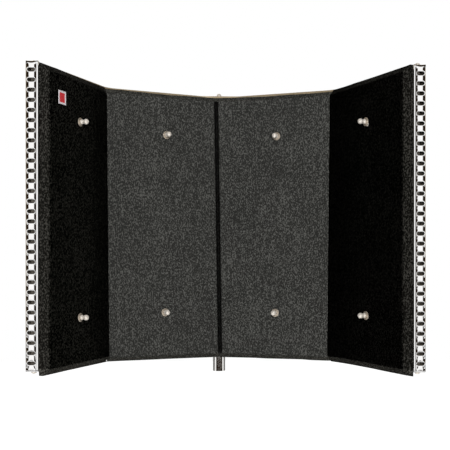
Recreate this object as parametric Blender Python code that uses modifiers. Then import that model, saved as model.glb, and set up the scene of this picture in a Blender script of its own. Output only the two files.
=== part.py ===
"""Microphone reflection filter with its rear post and its stand clamp.

Four felt-covered pads stand in a shallow U on a bent barrier sheet. A wool blanket lies behind the
sheet, and a perforated outer shell closes the back and folds round to the front as two slotted
strips. Eight dome studs hold the layers together. A post on the shell's back slides and turns in a
clamp, and the clamp tilts on a threaded stand socket.

World frame: +X to the right seen from the microphone, +Y away from the microphone, +Z up, metres.
The world's origin is the middle of the stand socket's mouth. The filter's own sizes are counted
from the datum: the crease between the two centre pads, at the height of the wing pads' lower edge.
"""

import math

import bmesh
import bpy
from mathutils import Matrix, Vector

MM = 0.001
GAP = 0.3 * MM

# Pads, in plan from the middle outwards
PANEL_WIDTH = 128 * MM
CENTRE_ANGLE = math.radians(14.4)
WING_ANGLE = math.radians(66.4)
WING_PAD_DEPTH = 8.5 * MM
CENTRE_PAD_DEPTH = 6.5 * MM
WING_BEVEL = 7.5 * MM
CENTRE_BEVEL = 5.5 * MM
WING_PAD_BOTTOM = 0.0
WING_PAD_TOP = 310 * MM
CENTRE_PAD_BOTTOM = 2.3 * MM
CENTRE_PAD_TOP = 307.7 * MM
PAD_TRIM_FROM = 4 * MM
PAD_TRIM_ANGLE = math.radians(14)

# Layers behind the pads, as distances behind the barrier sheet's front face
BARRIER_BEHIND_WING = WING_PAD_DEPTH + GAP
BARRIER_CREASE_Y = 23 * MM
BARRIER_FLAT_HALF = 22 * MM
BARRIER_ANGLE = math.radians(23)
CREASE_BEND = 20 * MM
FOLD_BEND = 25 * MM
BEND_STEPS = 5
BARRIER_DEPTH = 1 * MM
BLANKET_NEAR = BARRIER_DEPTH + GAP
BLANKET_DEPTH = 9.4 * MM
SHELL_NEAR = BLANKET_NEAR + BLANKET_DEPTH + GAP
SHELL_DEPTH = 1.2 * MM
BARRIER_TOP = 310.7 * MM
BARRIER_BOTTOM = 3.5 * MM
BLANKET_TOP = 309 * MM
BLANKET_BOTTOM = 6 * MM
BARRIER_FRONT_Y = -147 * MM
BLANKET_FRONT_Y = -141.5 * MM

# Perforated shell's front strips
STRIP_Y = -154 * MM
STRIP_INNER_X = 186.9 * MM
STRIP_LIP = 3 * MM
STRIP_BEND = 1.3 * MM
SHELL_BOTTOM = 4 * MM
SHELL_TOP = 311.5 * MM
STRIP_END_BEND = 2.5 * MM
STRIP_TAB = 9 * MM
STRIP_NOTCH = 0.6 * MM
SLOT_COUNT = 30
SLOT_PITCH = 10 * MM
SLOT_LENGTH = 7.5 * MM
SLOT_HEIGHT = 3.5 * MM
SLOT_END_STEPS = 4

# Tie bars inside the strips, and the screws in their ends
TIE_BAR_X = 190.9 * MM
TIE_BAR_Y = -148.5 * MM
TIE_BAR_WIDTH = 5 * MM
EDGE_SCREW_HEAD_RADIUS = 2.75 * MM
EDGE_SCREW_HEAD_HEIGHT = 2 * MM
EDGE_SCREW_RADIUS = 1.5 * MM
EDGE_SCREW_LENGTH = 9 * MM
# Its head's outline, as shares of the head's radius and height
EDGE_SCREW_DOME = ((0, 1), (0.45, 0.92), (0.8, 0.65), (1, 0.2))

# Studs through the layers
WING_STUD_LOW_Z = 55.5 * MM
WING_STUD_HIGH_Z = 260 * MM
CENTRE_STUD_LOW_Z = 57.2 * MM
CENTRE_STUD_HIGH_Z = 257.6 * MM
CENTRE_STUD_AT = 65.5 * MM
WING_STUD_AT = 69.5 * MM
STUD_RADIUS = 2 * MM
STUD_HOLE_RADIUS = STUD_RADIUS + GAP
STUD_DOME_RADIUS = 3 * MM
STUD_NECK_RADIUS = 1.6 * MM
STUD_COLLAR_RADIUS = 2.6 * MM
STUD_COLLAR_HEIGHT = 1.5 * MM
STUD_COLLAR_SLOPE = 0.5 * MM
STUD_RIM_RADIUS = 2.85 * MM
STUD_RIM_DROP = 1.3 * MM
STUD_NECK_DROP = 2.2 * MM
STUD_REACH = 10.2 * MM
WASHER_RADIUS = 4.6 * MM
WASHER_DEPTH = 0.8 * MM
SPACER_RADIUS = 4 * MM
NUT_RADIUS = 4.1 * MM
NUT_HEX_DEPTH = 3.2 * MM
NUT_DOME_RADIUS = 3.3 * MM
NUT_DOME_DROP = 0.6 * MM
NUT_DOME_ROOT = 1 * MM
NUT_HOLE_SPARE = 1 * MM
NUT_STAND_OFF = 0.95 * MM

# Woven tag near the left wing's front corner
TAG_WIDTH = 17 * MM
TAG_DEPTH = 0.5 * MM
TAG_FROM_FRONT = 28.5 * MM
TAG_Z = 280.5 * MM

# Rear post and its brackets
POST_Y = 55 * MM
POST_RADIUS = 7.5 * MM
POST_WALL = 1.5 * MM
POST_BOTTOM = -18.5 * MM
POST_TOP = 309.5 * MM
PLUG_LENGTH = 24 * MM
BRACKET_HALF = 16.5 * MM
BRACKET_DEPTH = 2.5 * MM
BRACKET_HEIGHT = 24 * MM
BRACKET_LUG_HALF = 11 * MM
TOP_LUG_Z = 309.8 * MM
TOP_LUG_DEPTH = 2.5 * MM
LOW_LUG_Z = 6 * MM
LOW_LUG_DEPTH = 3 * MM
TOP_STUD_TIP = 319.6 * MM
TOP_STUD_RADIUS = 2.8 * MM
TOP_STUD_FOOT_RADIUS = 2.38 * MM
TOP_STUD_CHAMFER = 1 * MM
TOP_STUD_SHANK_RADIUS = 1.68 * MM
TOP_STUD_HOLE_SPARE = 2 * MM
PLUG_HOLE_DEPTH = 18 * MM
RIVET_X = 11.5 * MM
RIVET_FROM_LUG = 15 * MM
RIVET_RADIUS = 2 * MM
RIVET_HEAD_RADIUS = 3.6 * MM
RIVET_HEAD_HEIGHT = 1.6 * MM
RIVET_TAIL_RADIUS = 3.1 * MM
RIVET_TAIL_DEPTH = 1.2 * MM
# Its head's outline, as shares of the head's radius and height
RIVET_DOME = ((0, 1), (0.5, 0.9), (0.85, 0.55), (1, 0))

# Clamp on the post
CLAMP_BOTTOM = 78 * MM
CLAMP_TOP = 150 * MM
CLAMP_RADIUS = 14 * MM
CLAMP_BACK_Y = 76 * MM
CLAMP_HALF = 9.5 * MM
BUSH_INNER = POST_RADIUS + GAP
BUSH_OUTER = 9.3 * MM
BUSH_FLANGE_RADIUS = 12 * MM
BUSH_FLANGE_DEPTH = 1.7 * MM
BUSH_SLIT = 1.5 * MM
BUSH_SET_IN = 2 * MM
CLAMP_BLOCK_SET_IN = 1 * MM
CLAMP_SCREW_Z = 130 * MM
CLAMP_SCREW_RADIUS = 4 * MM
CLAMP_BOSS_RADIUS = 9 * MM
CLAMP_BOSS_Y = 82 * MM
PRESSURE_PAD_DEPTH = 4 * MM
PRESSURE_PAD_RADIUS = 4.4 * MM
CLAMP_SCREW_END_Y = 97 * MM
CLAMP_KNOB_Y = 84 * MM
CLAMP_KNOB_RADIUS = 16 * MM
CLAMP_KNOB_DEPTH = 17 * MM
KNOB_LOBES = 6
KNOB_LOBE_DEPTH = 0.12
KNOB_ROUNDING = 1.4 * MM

# Tilting stand socket
TILT_Y = 98 * MM
TILT_Z = 90 * MM
TILT_EAR_HALF = 4 * MM
TILT_EAR_RADIUS = 10 * MM
EAR_SET_IN = 0.5 * MM
FORK_DEPTH = 5 * MM
FORK_ROOT = 2 * MM
SLIDING_GAP = 0.4 * MM
FORK_BASE_TOP = 68 * MM
FORK_BASE_BOTTOM = 50 * MM
TILT_BOLT_RADIUS = 3 * MM
TILT_HEAD_RADIUS = 5.6 * MM
TILT_HEAD_DEPTH = 3.6 * MM
TILT_KNOB_RADIUS = 12.5 * MM
TILT_KNOB_DEPTH = 14 * MM
TILT_BOLT_IN_KNOB = 10.5 * MM
SOCKET_RADIUS = 12 * MM
SOCKET_BOTTOM = 20 * MM
SOCKET_THREAD_RADIUS = 7.94 * MM
SOCKET_THREAD_DEPTH = 25 * MM
SOCKET_CHAMFER = 1.2 * MM

# How finely round shapes are cut
ROUND_STEPS = 24
SMALL_STEPS = 14
DOME_STEPS = 4
HOLE_STEPS = 16
SMALL_HOLE_STEPS = 12
CUT_MARGIN = 4 * MM
SHARP_ANGLE = math.radians(35)

DATUM = Vector((0, -TILT_Y, -SOCKET_BOTTOM))

COLOURS = {
    "felt": ((0.055, 0.055, 0.053, 1), 0.95, 0.0),
    "wool": ((0.09, 0.085, 0.08, 1), 1.0, 0.0),
    "sheet": ((0.78, 0.78, 0.77, 1), 0.28, 1.0),
    "polished": ((0.86, 0.85, 0.83, 1), 0.1, 1.0),
    "chrome": ((0.9, 0.88, 0.84, 1), 0.06, 1.0),
    "black_metal": ((0.03, 0.03, 0.03, 1), 0.45, 0.0),
    "plastic": ((0.02, 0.02, 0.02, 1), 0.5, 0.0),
    "brass": ((0.7, 0.5, 0.22, 1), 0.3, 1.0),
    "nylon": ((0.7, 0.69, 0.64, 1), 0.45, 0.0),
    "tag": ((0.5, 0.02, 0.03, 1), 0.8, 0.0),
}


def clear_scene():
    for obj in list(bpy.data.objects):
        bpy.data.objects.remove(obj, do_unlink=True)


def new_collection(name):
    group = bpy.data.collections.new(name)
    bpy.context.scene.collection.children.link(group)
    return group


def finish(name):
    """One Principled material for each kind of surface."""
    if name in bpy.data.materials:
        return bpy.data.materials[name]
    colour, roughness, metallic = COLOURS[name]
    material = bpy.data.materials.new(name)
    material.use_nodes = True
    shader = material.node_tree.nodes["Principled BSDF"]
    shader.inputs["Base Color"].default_value = colour
    shader.inputs["Roughness"].default_value = roughness
    shader.inputs["Metallic"].default_value = metallic
    return material


def add_object(name, mesh, group, place, turn=(0, 0, 0), parent=None):
    """Link a mesh as an object, placed by its location and its turn under its parent."""
    obj = bpy.data.objects.new(name, mesh)
    group.objects.link(obj)
    obj.parent = parent
    obj.location = place
    obj.rotation_euler = turn
    return obj


def add_part(name, mesh, colour, place, turn=(0, 0, 0), parent=None):
    obj = add_object(name, mesh, PARTS, place, turn, parent)
    if not mesh.materials:
        mesh.materials.append(finish(colour))
    return obj


def add_cutter(name, mesh, place=(0, 0, 0), turn=(0, 0, 0), parent=None):
    obj = add_object(name, mesh, CUTTERS, place, turn, parent)
    obj.hide_render = True
    obj.display_type = "WIRE"
    return obj


def add_datum(name, place, parent=None):
    empty = bpy.data.objects.new(name, None)
    PARTS.objects.link(empty)
    empty.location = place
    empty.parent = parent
    return empty


def mesh_of(name, shape):
    """Turn a bmesh into a mesh with smooth round sides and sharp corners."""
    bmesh.ops.recalc_face_normals(shape, faces=shape.faces[:])
    mesh = bpy.data.meshes.new(name)
    shape.to_mesh(mesh)
    shape.free()
    mesh.shade_smooth()
    mesh.set_sharp_from_angle(angle=SHARP_ANGLE)
    return mesh


def boolean(obj, other, operation="DIFFERENCE"):
    step = obj.modifiers.new(operation.lower(), "BOOLEAN")
    step.operation = operation
    step.object = other
    step.solver = "EXACT"


def solid_of(obj, name):
    """The object's mesh with its modifiers applied, for copies that share it."""
    bpy.context.view_layer.update()
    graph = bpy.context.evaluated_depsgraph_get()
    mesh = bpy.data.meshes.new_from_object(obj.evaluated_get(graph))
    mesh.name = name
    return mesh


def box(shape, low, high):
    """Add a box between two corners to a bmesh."""
    size = Vector(high) - Vector(low)
    middle = (Vector(high) + Vector(low)) / 2
    matrix = Matrix.Translation(middle) @ Matrix.Diagonal((*size, 1))
    return bmesh.ops.create_cube(shape, size=1, matrix=matrix)["verts"]


def box_mesh(name, low, high):
    shape = bmesh.new()
    box(shape, low, high)
    return mesh_of(name, shape)


def cylinder(shape, radius, start, end, steps=ROUND_STEPS):
    """Add a capped cylinder between two points to a bmesh."""
    axis = Vector(end) - Vector(start)
    turn = axis.to_track_quat("Z", "Y").to_matrix().to_4x4()
    matrix = Matrix.Translation((Vector(start) + Vector(end)) / 2) @ turn
    return bmesh.ops.create_cone(
        shape,
        cap_ends=True,
        segments=steps,
        radius1=radius,
        radius2=radius,
        depth=axis.length,
        matrix=matrix,
    )["verts"]


def cylinder_mesh(name, radius, start, end, steps=ROUND_STEPS):
    shape = bmesh.new()
    cylinder(shape, radius, start, end, steps)
    return mesh_of(name, shape)


def turned_mesh(name, profile, steps=SMALL_STEPS, ring=False):
    """Turn a profile of (radius, height) about Z. It runs down the outer side, top to bottom.

    A ring's profile comes back up its inner side and closes on itself.
    """
    outline = bpy.data.meshes.new(name + "_profile")
    count = len(profile)
    edges = [(i, i + 1) for i in range(count - 1)]
    if ring:
        edges.append((count - 1, 0))
    outline.from_pydata([(r, 0, z) for r, z in profile], edges, [])
    holder = bpy.data.objects.new(name + "_profile", outline)
    CUTTERS.objects.link(holder)
    screw = holder.modifiers.new("turn", "SCREW")
    screw.steps = steps
    screw.render_steps = steps
    screw.use_merge_vertices = True
    screw.merge_threshold = 0.00001
    mesh = solid_of(holder, name)
    bpy.data.objects.remove(holder, do_unlink=True)
    mesh.shade_smooth()
    mesh.set_sharp_from_angle(angle=SHARP_ANGLE)
    return mesh


def arc(radius, centre_z, start, end, steps):
    """Points (radius, height) of an arc about the axis, between two angles from the equator."""
    points = []
    for i in range(steps + 1):
        angle = math.radians(start + (end - start) * i / steps)
        points.append((radius * math.cos(angle), centre_z + radius * math.sin(angle)))
    return points


def unit(angle):
    """The plan direction from the middle outwards of a right-hand panel leaning by this angle."""
    return Vector((math.cos(angle), -math.sin(angle), 0))


def backward(angle):
    """The plan direction square to that panel, away from the microphone."""
    return Vector((math.sin(angle), math.cos(angle), 0))


FOLD = PANEL_WIDTH * unit(CENTRE_ANGLE)


def mirrored(mesh, name):
    """A copy of the mesh mirrored across X = 0."""
    shape = bmesh.new()
    shape.from_mesh(mesh)
    bmesh.ops.scale(shape, vec=(-1, 1, 1), verts=shape.verts[:])
    copy = mesh_of(name, shape)
    for material in mesh.materials:
        copy.materials.append(material)
    return copy


def pad_slab(near, far, depth, bottom, top, bevel, front):
    """A slab whose face is at Y = 0, chamfered round the edges of its face that show."""
    shape = bmesh.new()
    box(shape, (near, 0, bottom), (far, depth, top))
    edges = []
    for edge in shape.edges:
        first, second = (v.co for v in edge.verts)
        on_face = abs(first.y) < GAP and abs(second.y) < GAP
        level = abs(first.z - second.z) < GAP
        outer = front and abs(first.x - far) < GAP and abs(second.x - far) < GAP
        if on_face and (level or outer):
            edges.append(edge)
    bmesh.ops.bevel(shape, geom=edges, offset=bevel, segments=1, profile=0.5, affect="EDGES")
    return shape


def cut_away(shape, point, normal):
    """Remove what lies on the normal's side of a plane and close the cut."""
    cut = bmesh.ops.bisect_plane(
        shape,
        geom=shape.verts[:] + shape.edges[:] + shape.faces[:],
        plane_co=point,
        plane_no=normal,
        clear_outer=True,
    )
    edges = [item for item in cut["geom_cut"] if isinstance(item, bmesh.types.BMEdge)]
    bmesh.ops.contextual_create(shape, geom=edges)


def wing_pad_mesh():
    """Right wing pad: X runs from the fold to the front, Y back from the face."""
    reach = 2 * WING_PAD_DEPTH
    shape = pad_slab(
        -reach,
        PANEL_WIDTH + WING_BEVEL,
        WING_PAD_DEPTH,
        WING_PAD_BOTTOM,
        WING_PAD_TOP,
        WING_BEVEL,
        True,
    )
    mitre = (WING_ANGLE - CENTRE_ANGLE) / 2
    outward = Vector((-math.cos(mitre), -math.sin(mitre), 0))
    cut_away(shape, -GAP / 2 * outward, outward)
    trim = Vector((-math.sin(PAD_TRIM_ANGLE), math.cos(PAD_TRIM_ANGLE), 0))
    cut_away(shape, Vector((PAD_TRIM_FROM, WING_PAD_DEPTH, 0)), trim)
    return mesh_of("wing_pad", shape)


def centre_pad_mesh():
    """Right centre pad: X runs from the crease to the fold, Y back from the face."""
    reach = 2 * CENTRE_PAD_DEPTH
    shape = pad_slab(
        -reach,
        PANEL_WIDTH + reach,
        CENTRE_PAD_DEPTH,
        CENTRE_PAD_BOTTOM,
        CENTRE_PAD_TOP,
        CENTRE_BEVEL,
        False,
    )
    crease = Vector((-math.cos(CENTRE_ANGLE), -math.sin(CENTRE_ANGLE), 0))
    cut_away(shape, -GAP / 2 * crease, crease)
    mitre = (WING_ANGLE - CENTRE_ANGLE) / 2
    outward = Vector((math.cos(mitre), -math.sin(mitre), 0))
    fold = Vector((PANEL_WIDTH, 0, 0))
    cut_away(shape, fold - GAP / 2 * outward, outward)
    return mesh_of("centre_pad", shape)


def add_pads(datum, stud_cutter):
    """Four pads: two in the centre and two on the wings, each with its two stud holes."""
    wing = wing_pad_mesh()
    centre = centre_pad_mesh()
    crease = Vector((0, 0, 0))
    for side, sign in (("right", 1), ("left", -1)):
        mirror = Vector((sign, 1, 1))
        wing_mesh = wing if sign > 0 else mirrored(wing, "wing_pad_mirrored")
        centre_mesh = centre if sign > 0 else mirrored(centre, "centre_pad_mirrored")
        pads = (
            ("wing_pad_", wing_mesh, FOLD, WING_ANGLE),
            ("centre_pad_", centre_mesh, crease, CENTRE_ANGLE),
        )
        for name, mesh, place, angle in pads:
            turn = (0, 0, -sign * angle)
            pad = add_part(name + side, mesh, "felt", place * mirror, turn, datum)
            boolean(pad, stud_cutter)


def add_tag(datum):
    """A woven tag on the left wing's face."""
    low = (-TAG_WIDTH / 2, 0, -TAG_WIDTH / 2)
    high = (TAG_WIDTH / 2, TAG_DEPTH, TAG_WIDTH / 2)
    mesh = box_mesh("woven_tag", low, high)
    along = PANEL_WIDTH - TAG_FROM_FRONT
    place = FOLD + along * unit(WING_ANGLE) - (TAG_DEPTH + GAP) * backward(WING_ANGLE)
    place.x = -place.x
    place.z = TAG_Z
    add_part("woven_tag", mesh, "tag", place, (0, 0, WING_ANGLE), datum)


def meet(point, along, other, other_along):
    """Where two plan lines cross."""
    across = along.x * other_along.y - along.y * other_along.x
    gap = other - point
    step = (gap.x * other_along.y - gap.y * other_along.x) / across
    return point + step * along


def layer_corners(behind, front_y):
    """Sharp corners of a layer's right half, behind the barrier's front face by this much."""
    centre = Vector((0, BARRIER_CREASE_Y + behind, 0))
    bend = Vector((BARRIER_FLAT_HALF, BARRIER_CREASE_Y, 0))
    slope = bend + behind * backward(BARRIER_ANGLE)
    wing = FOLD + (BARRIER_BEHIND_WING + behind) * backward(WING_ANGLE)
    across = Vector((1, 0, 0))
    first = meet(centre, across, slope, unit(BARRIER_ANGLE))
    second = meet(slope, unit(BARRIER_ANGLE), wing, unit(WING_ANGLE))
    front = meet(wing, unit(WING_ANGLE), Vector((0, front_y, 0)), across)
    return [first, second, front]


def rounded(corners, radii, steps=BEND_STEPS):
    """A plan path through corners, each inner corner rounded by its radius."""
    path = [corners[0]]
    for before, corner, after, radius in zip(corners, corners[1:], corners[2:], radii):
        arrive = (corner - before).normalized()
        leave = (after - corner).normalized()
        turn = arrive.angle(leave)
        tangent = radius * math.tan(turn / 2)
        inward = (leave - arrive).normalized()
        centre = corner + inward * radius / math.cos(turn / 2)
        start = corner - tangent * arrive - centre
        spin = 1 if arrive.cross(leave).z > 0 else -1
        for i in range(steps + 1):
            path.append(centre + Matrix.Rotation(spin * turn * i / steps, 3, "Z") @ start)
    path.append(corners[-1])
    return path


def both_sides(corners):
    return [Vector((-p.x, p.y, 0)) for p in reversed(corners)] + corners


def layer_path(behind, front_y):
    fold = FOLD_BEND + behind
    crease = CREASE_BEND + behind
    return rounded(both_sides(layer_corners(behind, front_y)), (fold, crease, crease, fold))


def wall(shape, path, low, high):
    """Add an open wall along a plan path, facing the microphone. It returns the wall's columns."""
    columns = [(shape.verts.new((p.x, p.y, low)), shape.verts.new((p.x, p.y, high))) for p in path]
    for left, right in zip(columns, columns[1:]):
        shape.faces.new((left[0], right[0], right[1], left[1]))
    return columns


def extend_wall(shape, columns, low, high):
    """Carry a wall on below and above its own columns."""
    ends = [
        (shape.verts.new((a.co.x, a.co.y, low)), shape.verts.new((b.co.x, b.co.y, high)))
        for a, b in columns
    ]
    for left, right, left_end, right_end in zip(columns, columns[1:], ends, ends[1:]):
        shape.faces.new((left_end[0], right_end[0], right[0], left[0]))
        shape.faces.new((left[1], right[1], right_end[1], left_end[1]))


def thicken(obj, depth):
    """Give an open wall its thickness on the side away from the microphone."""
    solidify = obj.modifiers.new("thickness", "SOLIDIFY")
    solidify.thickness = depth
    solidify.offset = -1
    solidify.use_even_offset = True


def open_mesh(name, shape):
    mesh = bpy.data.meshes.new(name)
    shape.to_mesh(mesh)
    shape.free()
    return mesh


def add_layer(name, colour, behind, depth, span, front_y, datum, cutters):
    """One of the flat layers between the pads and the shell, as high as its span."""
    shape = bmesh.new()
    wall(shape, layer_path(behind, front_y), span[0], span[1])
    layer = add_part(name, open_mesh(name, shape), colour, (0, 0, 0), parent=datum)
    thicken(layer, depth)
    for cutter in cutters:
        boolean(layer, cutter)


def shell_path():
    """The shell's inner face in plan, from the left strip's lip to the right one's."""
    inner_y = STRIP_Y + SHELL_DEPTH
    corners = layer_corners(SHELL_NEAR, inner_y)
    lip_x = STRIP_INNER_X + SHELL_DEPTH
    lip = Vector((lip_x, inner_y, 0))
    lip_end = Vector((lip_x, inner_y + STRIP_LIP, 0))
    fold = FOLD_BEND + SHELL_NEAR
    crease = CREASE_BEND + SHELL_NEAR
    half = (crease, fold, STRIP_BEND, STRIP_BEND / 2)
    return rounded(both_sides(corners + [lip, lip_end]), tuple(reversed(half)) + half)


def notched(path):
    """The path with a point a little way in from each end of both flat strips."""
    lip_end = BEND_STEPS + 1
    inner, outer = path[lip_end], path[lip_end + 1]
    step = STRIP_NOTCH * (outer - inner).normalized()
    left = path[: lip_end + 1] + [inner + step, outer - step]
    right = [Vector((-p.x, p.y, 0)) for p in reversed(left)]
    return left + path[lip_end + 1 : -lip_end - 1] + right


def fold_tab(shape, left, right, way):
    """Fold a strip's end back between two of its corners: a bend, then a flat tab."""
    inside = STRIP_END_BEND - SHELL_DEPTH
    rows = []
    for step in range(1, BEND_STEPS + 1):
        angle = math.pi / 2 * step / BEND_STEPS
        rows.append((inside * (1 - math.cos(angle)), inside * math.sin(angle)))
    rows.append((STRIP_TAB, inside))
    edge = (left, right)
    front = left.co.y
    level = left.co.z
    for back, rise in rows:
        fresh = [shape.verts.new((v.co.x, front + back, level + way * rise)) for v in edge]
        face = (edge[0], edge[1], fresh[1], fresh[0])
        shape.faces.new(face if way > 0 else tuple(reversed(face)))
        edge = fresh


def add_shell(datum, cutters):
    """The outer shell. Its front strips have slots, and their ends fold back over the tie bars."""
    shape = bmesh.new()
    low = SHELL_BOTTOM + STRIP_END_BEND
    high = SHELL_TOP - STRIP_END_BEND
    columns = wall(shape, notched(shell_path()), low, high)
    outer = BEND_STEPS + 4
    count = len(columns)
    extend_wall(shape, columns[outer : count - outer], SHELL_BOTTOM, SHELL_TOP)
    for first in (outer - 2, count - outer):
        left, right = columns[first : first + 2]
        fold_tab(shape, left[0], right[0], -1)
        fold_tab(shape, left[1], right[1], 1)
    mesh = open_mesh("perforated_shell", shape)
    shell = add_part("perforated_shell", mesh, "polished", (0, 0, 0), parent=datum)
    thicken(shell, SHELL_DEPTH)
    for cutter in cutters:
        boolean(shell, cutter)


def slot_cutter(datum):
    """All the strips' slots: round bars stretched sideways, through the strips."""
    shape = bmesh.new()
    end_angle = math.pi / (2 * SLOT_END_STEPS + 2)
    radius = SLOT_HEIGHT / 2 / math.cos(end_angle)
    stretch = SLOT_LENGTH / 2 - radius
    middle_z = (SHELL_BOTTOM + SHELL_TOP) / 2
    strip_x = (STRIP_INNER_X + shell_front_x()) / 2
    for side in (-1, 1):
        x = side * strip_x
        for i in range(SLOT_COUNT):
            z = middle_z + (i - (SLOT_COUNT - 1) / 2) * SLOT_PITCH
            start = (x, STRIP_Y - CUT_MARGIN, z)
            end = (x, STRIP_Y + SHELL_DEPTH + GAP, z)
            for vert in cylinder(shape, radius, start, end, 2 * SLOT_END_STEPS + 2):
                vert.co.x += stretch if vert.co.x > x else -stretch
    return add_cutter("slot_cutter", mesh_of("slot_cutter", shape), parent=datum)


def shell_front_x():
    """Where the shell's outer face reaches the front of its strip."""
    corner = layer_corners(SHELL_NEAR + SHELL_DEPTH, STRIP_Y)[2]
    return corner.x


def stud_places():
    """Each stud: its name, the point on the pad's face, and the turn that points its Z forwards."""
    centre = CENTRE_STUD_AT * unit(CENTRE_ANGLE)
    wing = FOLD + WING_STUD_AT * unit(WING_ANGLE)
    panels = (
        ("centre", centre, CENTRE_ANGLE, CENTRE_STUD_LOW_Z, CENTRE_STUD_HIGH_Z),
        ("wing", wing, WING_ANGLE, WING_STUD_LOW_Z, WING_STUD_HIGH_Z),
    )
    places = []
    for side, sign in (("left", -1), ("right", 1)):
        for panel, point, angle, low, high in panels:
            for level, z in (("low", low), ("high", high)):
                place = Vector((sign * point.x, point.y, z))
                places.append((f"{panel}_{side}_{level}", place, (math.pi / 2, 0, -sign * angle)))
    return places


def depth_to(point, angle, behind, slope):
    """How far behind a pad's face its stud meets a layer's face, which leans by the slope."""
    if slope == WING_ANGLE:
        on_layer = FOLD + (BARRIER_BEHIND_WING + behind) * backward(WING_ANGLE)
    else:
        corner = Vector((BARRIER_FLAT_HALF, BARRIER_CREASE_Y, 0))
        on_layer = corner + behind * backward(BARRIER_ANGLE)
    start = Vector((point.x, point.y, 0))
    return (meet(start, backward(angle), on_layer, unit(slope)) - start).length


def stud_mesh(name, length):
    """A dome stud: ball end, neck, collar and rod. Z points to the microphone from the pad's face."""
    seat = GAP + WASHER_DEPTH + GAP
    dome_z = STUD_REACH - STUD_DOME_RADIUS
    profile = arc(STUD_DOME_RADIUS, dome_z, 90, 0, DOME_STEPS)
    profile += [
        (STUD_RIM_RADIUS, dome_z - STUD_RIM_DROP),
        (STUD_NECK_RADIUS, dome_z - STUD_NECK_DROP),
        (STUD_NECK_RADIUS, seat + STUD_COLLAR_HEIGHT + STUD_COLLAR_SLOPE),
        (STUD_COLLAR_RADIUS, seat + STUD_COLLAR_HEIGHT),
        (STUD_COLLAR_RADIUS, seat),
        (STUD_RADIUS, seat),
        (STUD_RADIUS, -length),
        (0, -length),
    ]
    return turned_mesh(name, profile)


def washer_mesh():
    low = GAP
    high = GAP + WASHER_DEPTH
    hole = STUD_HOLE_RADIUS
    profile = [(WASHER_RADIUS, high), (WASHER_RADIUS, low), (hole, low), (hole, high)]
    return turned_mesh("face_washer", profile, ROUND_STEPS, True)


def spacer_mesh(near, far):
    hole = STUD_HOLE_RADIUS
    profile = [(SPACER_RADIUS, -near), (SPACER_RADIUS, -far), (hole, -far), (hole, -near)]
    return turned_mesh("air_gap_spacer", profile, SMALL_STEPS, True)


def cap_nut_mesh():
    """A hexagon nut with a domed end. Z = 0 is its seat, and the nut lies below it."""
    shape = bmesh.new()
    cylinder(shape, NUT_RADIUS, (0, 0, -NUT_HEX_DEPTH), (0, 0, 0), 6)
    nut = add_object("cap_nut_blank", mesh_of("cap_nut_blank", shape), CUTTERS, (0, 0, 0))
    foot = -NUT_HEX_DEPTH
    profile = [(0, foot + NUT_DOME_ROOT), (NUT_DOME_RADIUS, foot + NUT_DOME_ROOT)]
    profile += arc(NUT_DOME_RADIUS, foot - NUT_DOME_DROP, 0, -90, DOME_STEPS)
    dome = add_cutter("cap_nut_dome", turned_mesh("cap_nut_dome", profile))
    ends = ((0, 0, foot - NUT_HOLE_SPARE), (0, 0, NUT_HOLE_SPARE))
    hole = cylinder_mesh("cap_nut_hole", STUD_HOLE_RADIUS, *ends, SMALL_HOLE_STEPS)
    drill = add_cutter("cap_nut_hole", hole)
    boolean(nut, dome, "UNION")
    boolean(nut, drill)
    mesh = solid_of(nut, "cap_nut")
    for used in (nut, dome, drill):
        bpy.data.objects.remove(used, do_unlink=True)
    return mesh


def add_studs(datum):
    """Eight studs with their washers and cap nuts, and a spacer on each central one."""
    washer = washer_mesh()
    nut = cap_nut_mesh()
    back = SHELL_NEAR + SHELL_DEPTH
    centre = CENTRE_STUD_AT * unit(CENTRE_ANGLE)
    wing = FOLD + WING_STUD_AT * unit(WING_ANGLE)
    centre_seat = depth_to(centre, CENTRE_ANGLE, back, BARRIER_ANGLE) + NUT_STAND_OFF
    wing_seat = depth_to(wing, WING_ANGLE, back, WING_ANGLE) + GAP
    rod_in_nut = NUT_HEX_DEPTH
    studs = {
        "centre": (stud_mesh("centre_stud", centre_seat + rod_in_nut), centre_seat),
        "wing": (stud_mesh("wing_stud", wing_seat + rod_in_nut), wing_seat),
    }
    lean = SPACER_RADIUS * math.tan(BARRIER_ANGLE - CENTRE_ANGLE)
    far = depth_to(centre, CENTRE_ANGLE, 0, BARRIER_ANGLE) - lean - GAP
    spacer = spacer_mesh(CENTRE_PAD_DEPTH + GAP, far)
    for name, place, turn in stud_places():
        panel = name.split("_")[0]
        mesh, seat = studs[panel]
        away = Matrix.Rotation(turn[2], 3, "Z") @ Vector((0, 1, 0))
        add_part("dome_stud_" + name, mesh, "chrome", place, turn, datum)
        add_part("face_washer_" + name, washer, "chrome", place, turn, datum)
        add_part("cap_nut_" + name, nut, "chrome", place + seat * away, turn, datum)
        if panel == "centre":
            add_part("air_gap_spacer_" + name[7:], spacer, "nylon", place, turn, datum)


def stud_hole_cutter(datum):
    """A bar along each stud, through every layer."""
    shape = bmesh.new()
    reach = 2 * (BARRIER_CREASE_Y + SHELL_NEAR)
    for _, place, turn in stud_places():
        away = Matrix.Rotation(turn[2], 3, "Z") @ Vector((0, 1, 0))
        cylinder(shape, STUD_HOLE_RADIUS, place - CUT_MARGIN * away, place + reach * away, HOLE_STEPS)
    return add_cutter("stud_hole_cutter", mesh_of("stud_hole_cutter", shape), parent=datum)


def edge_screw_places():
    """Each edge screw: its name, the middle of its head's seat, and its turn."""
    places = []
    for side, sign in (("left", -1), ("right", 1)):
        x = sign * TIE_BAR_X
        places.append((f"{side}_top", Vector((x, TIE_BAR_Y, SHELL_TOP + GAP)), (0, 0, 0)))
        places.append((f"{side}_bottom", Vector((x, TIE_BAR_Y, SHELL_BOTTOM - GAP)), (math.pi, 0, 0)))
    return places


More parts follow.
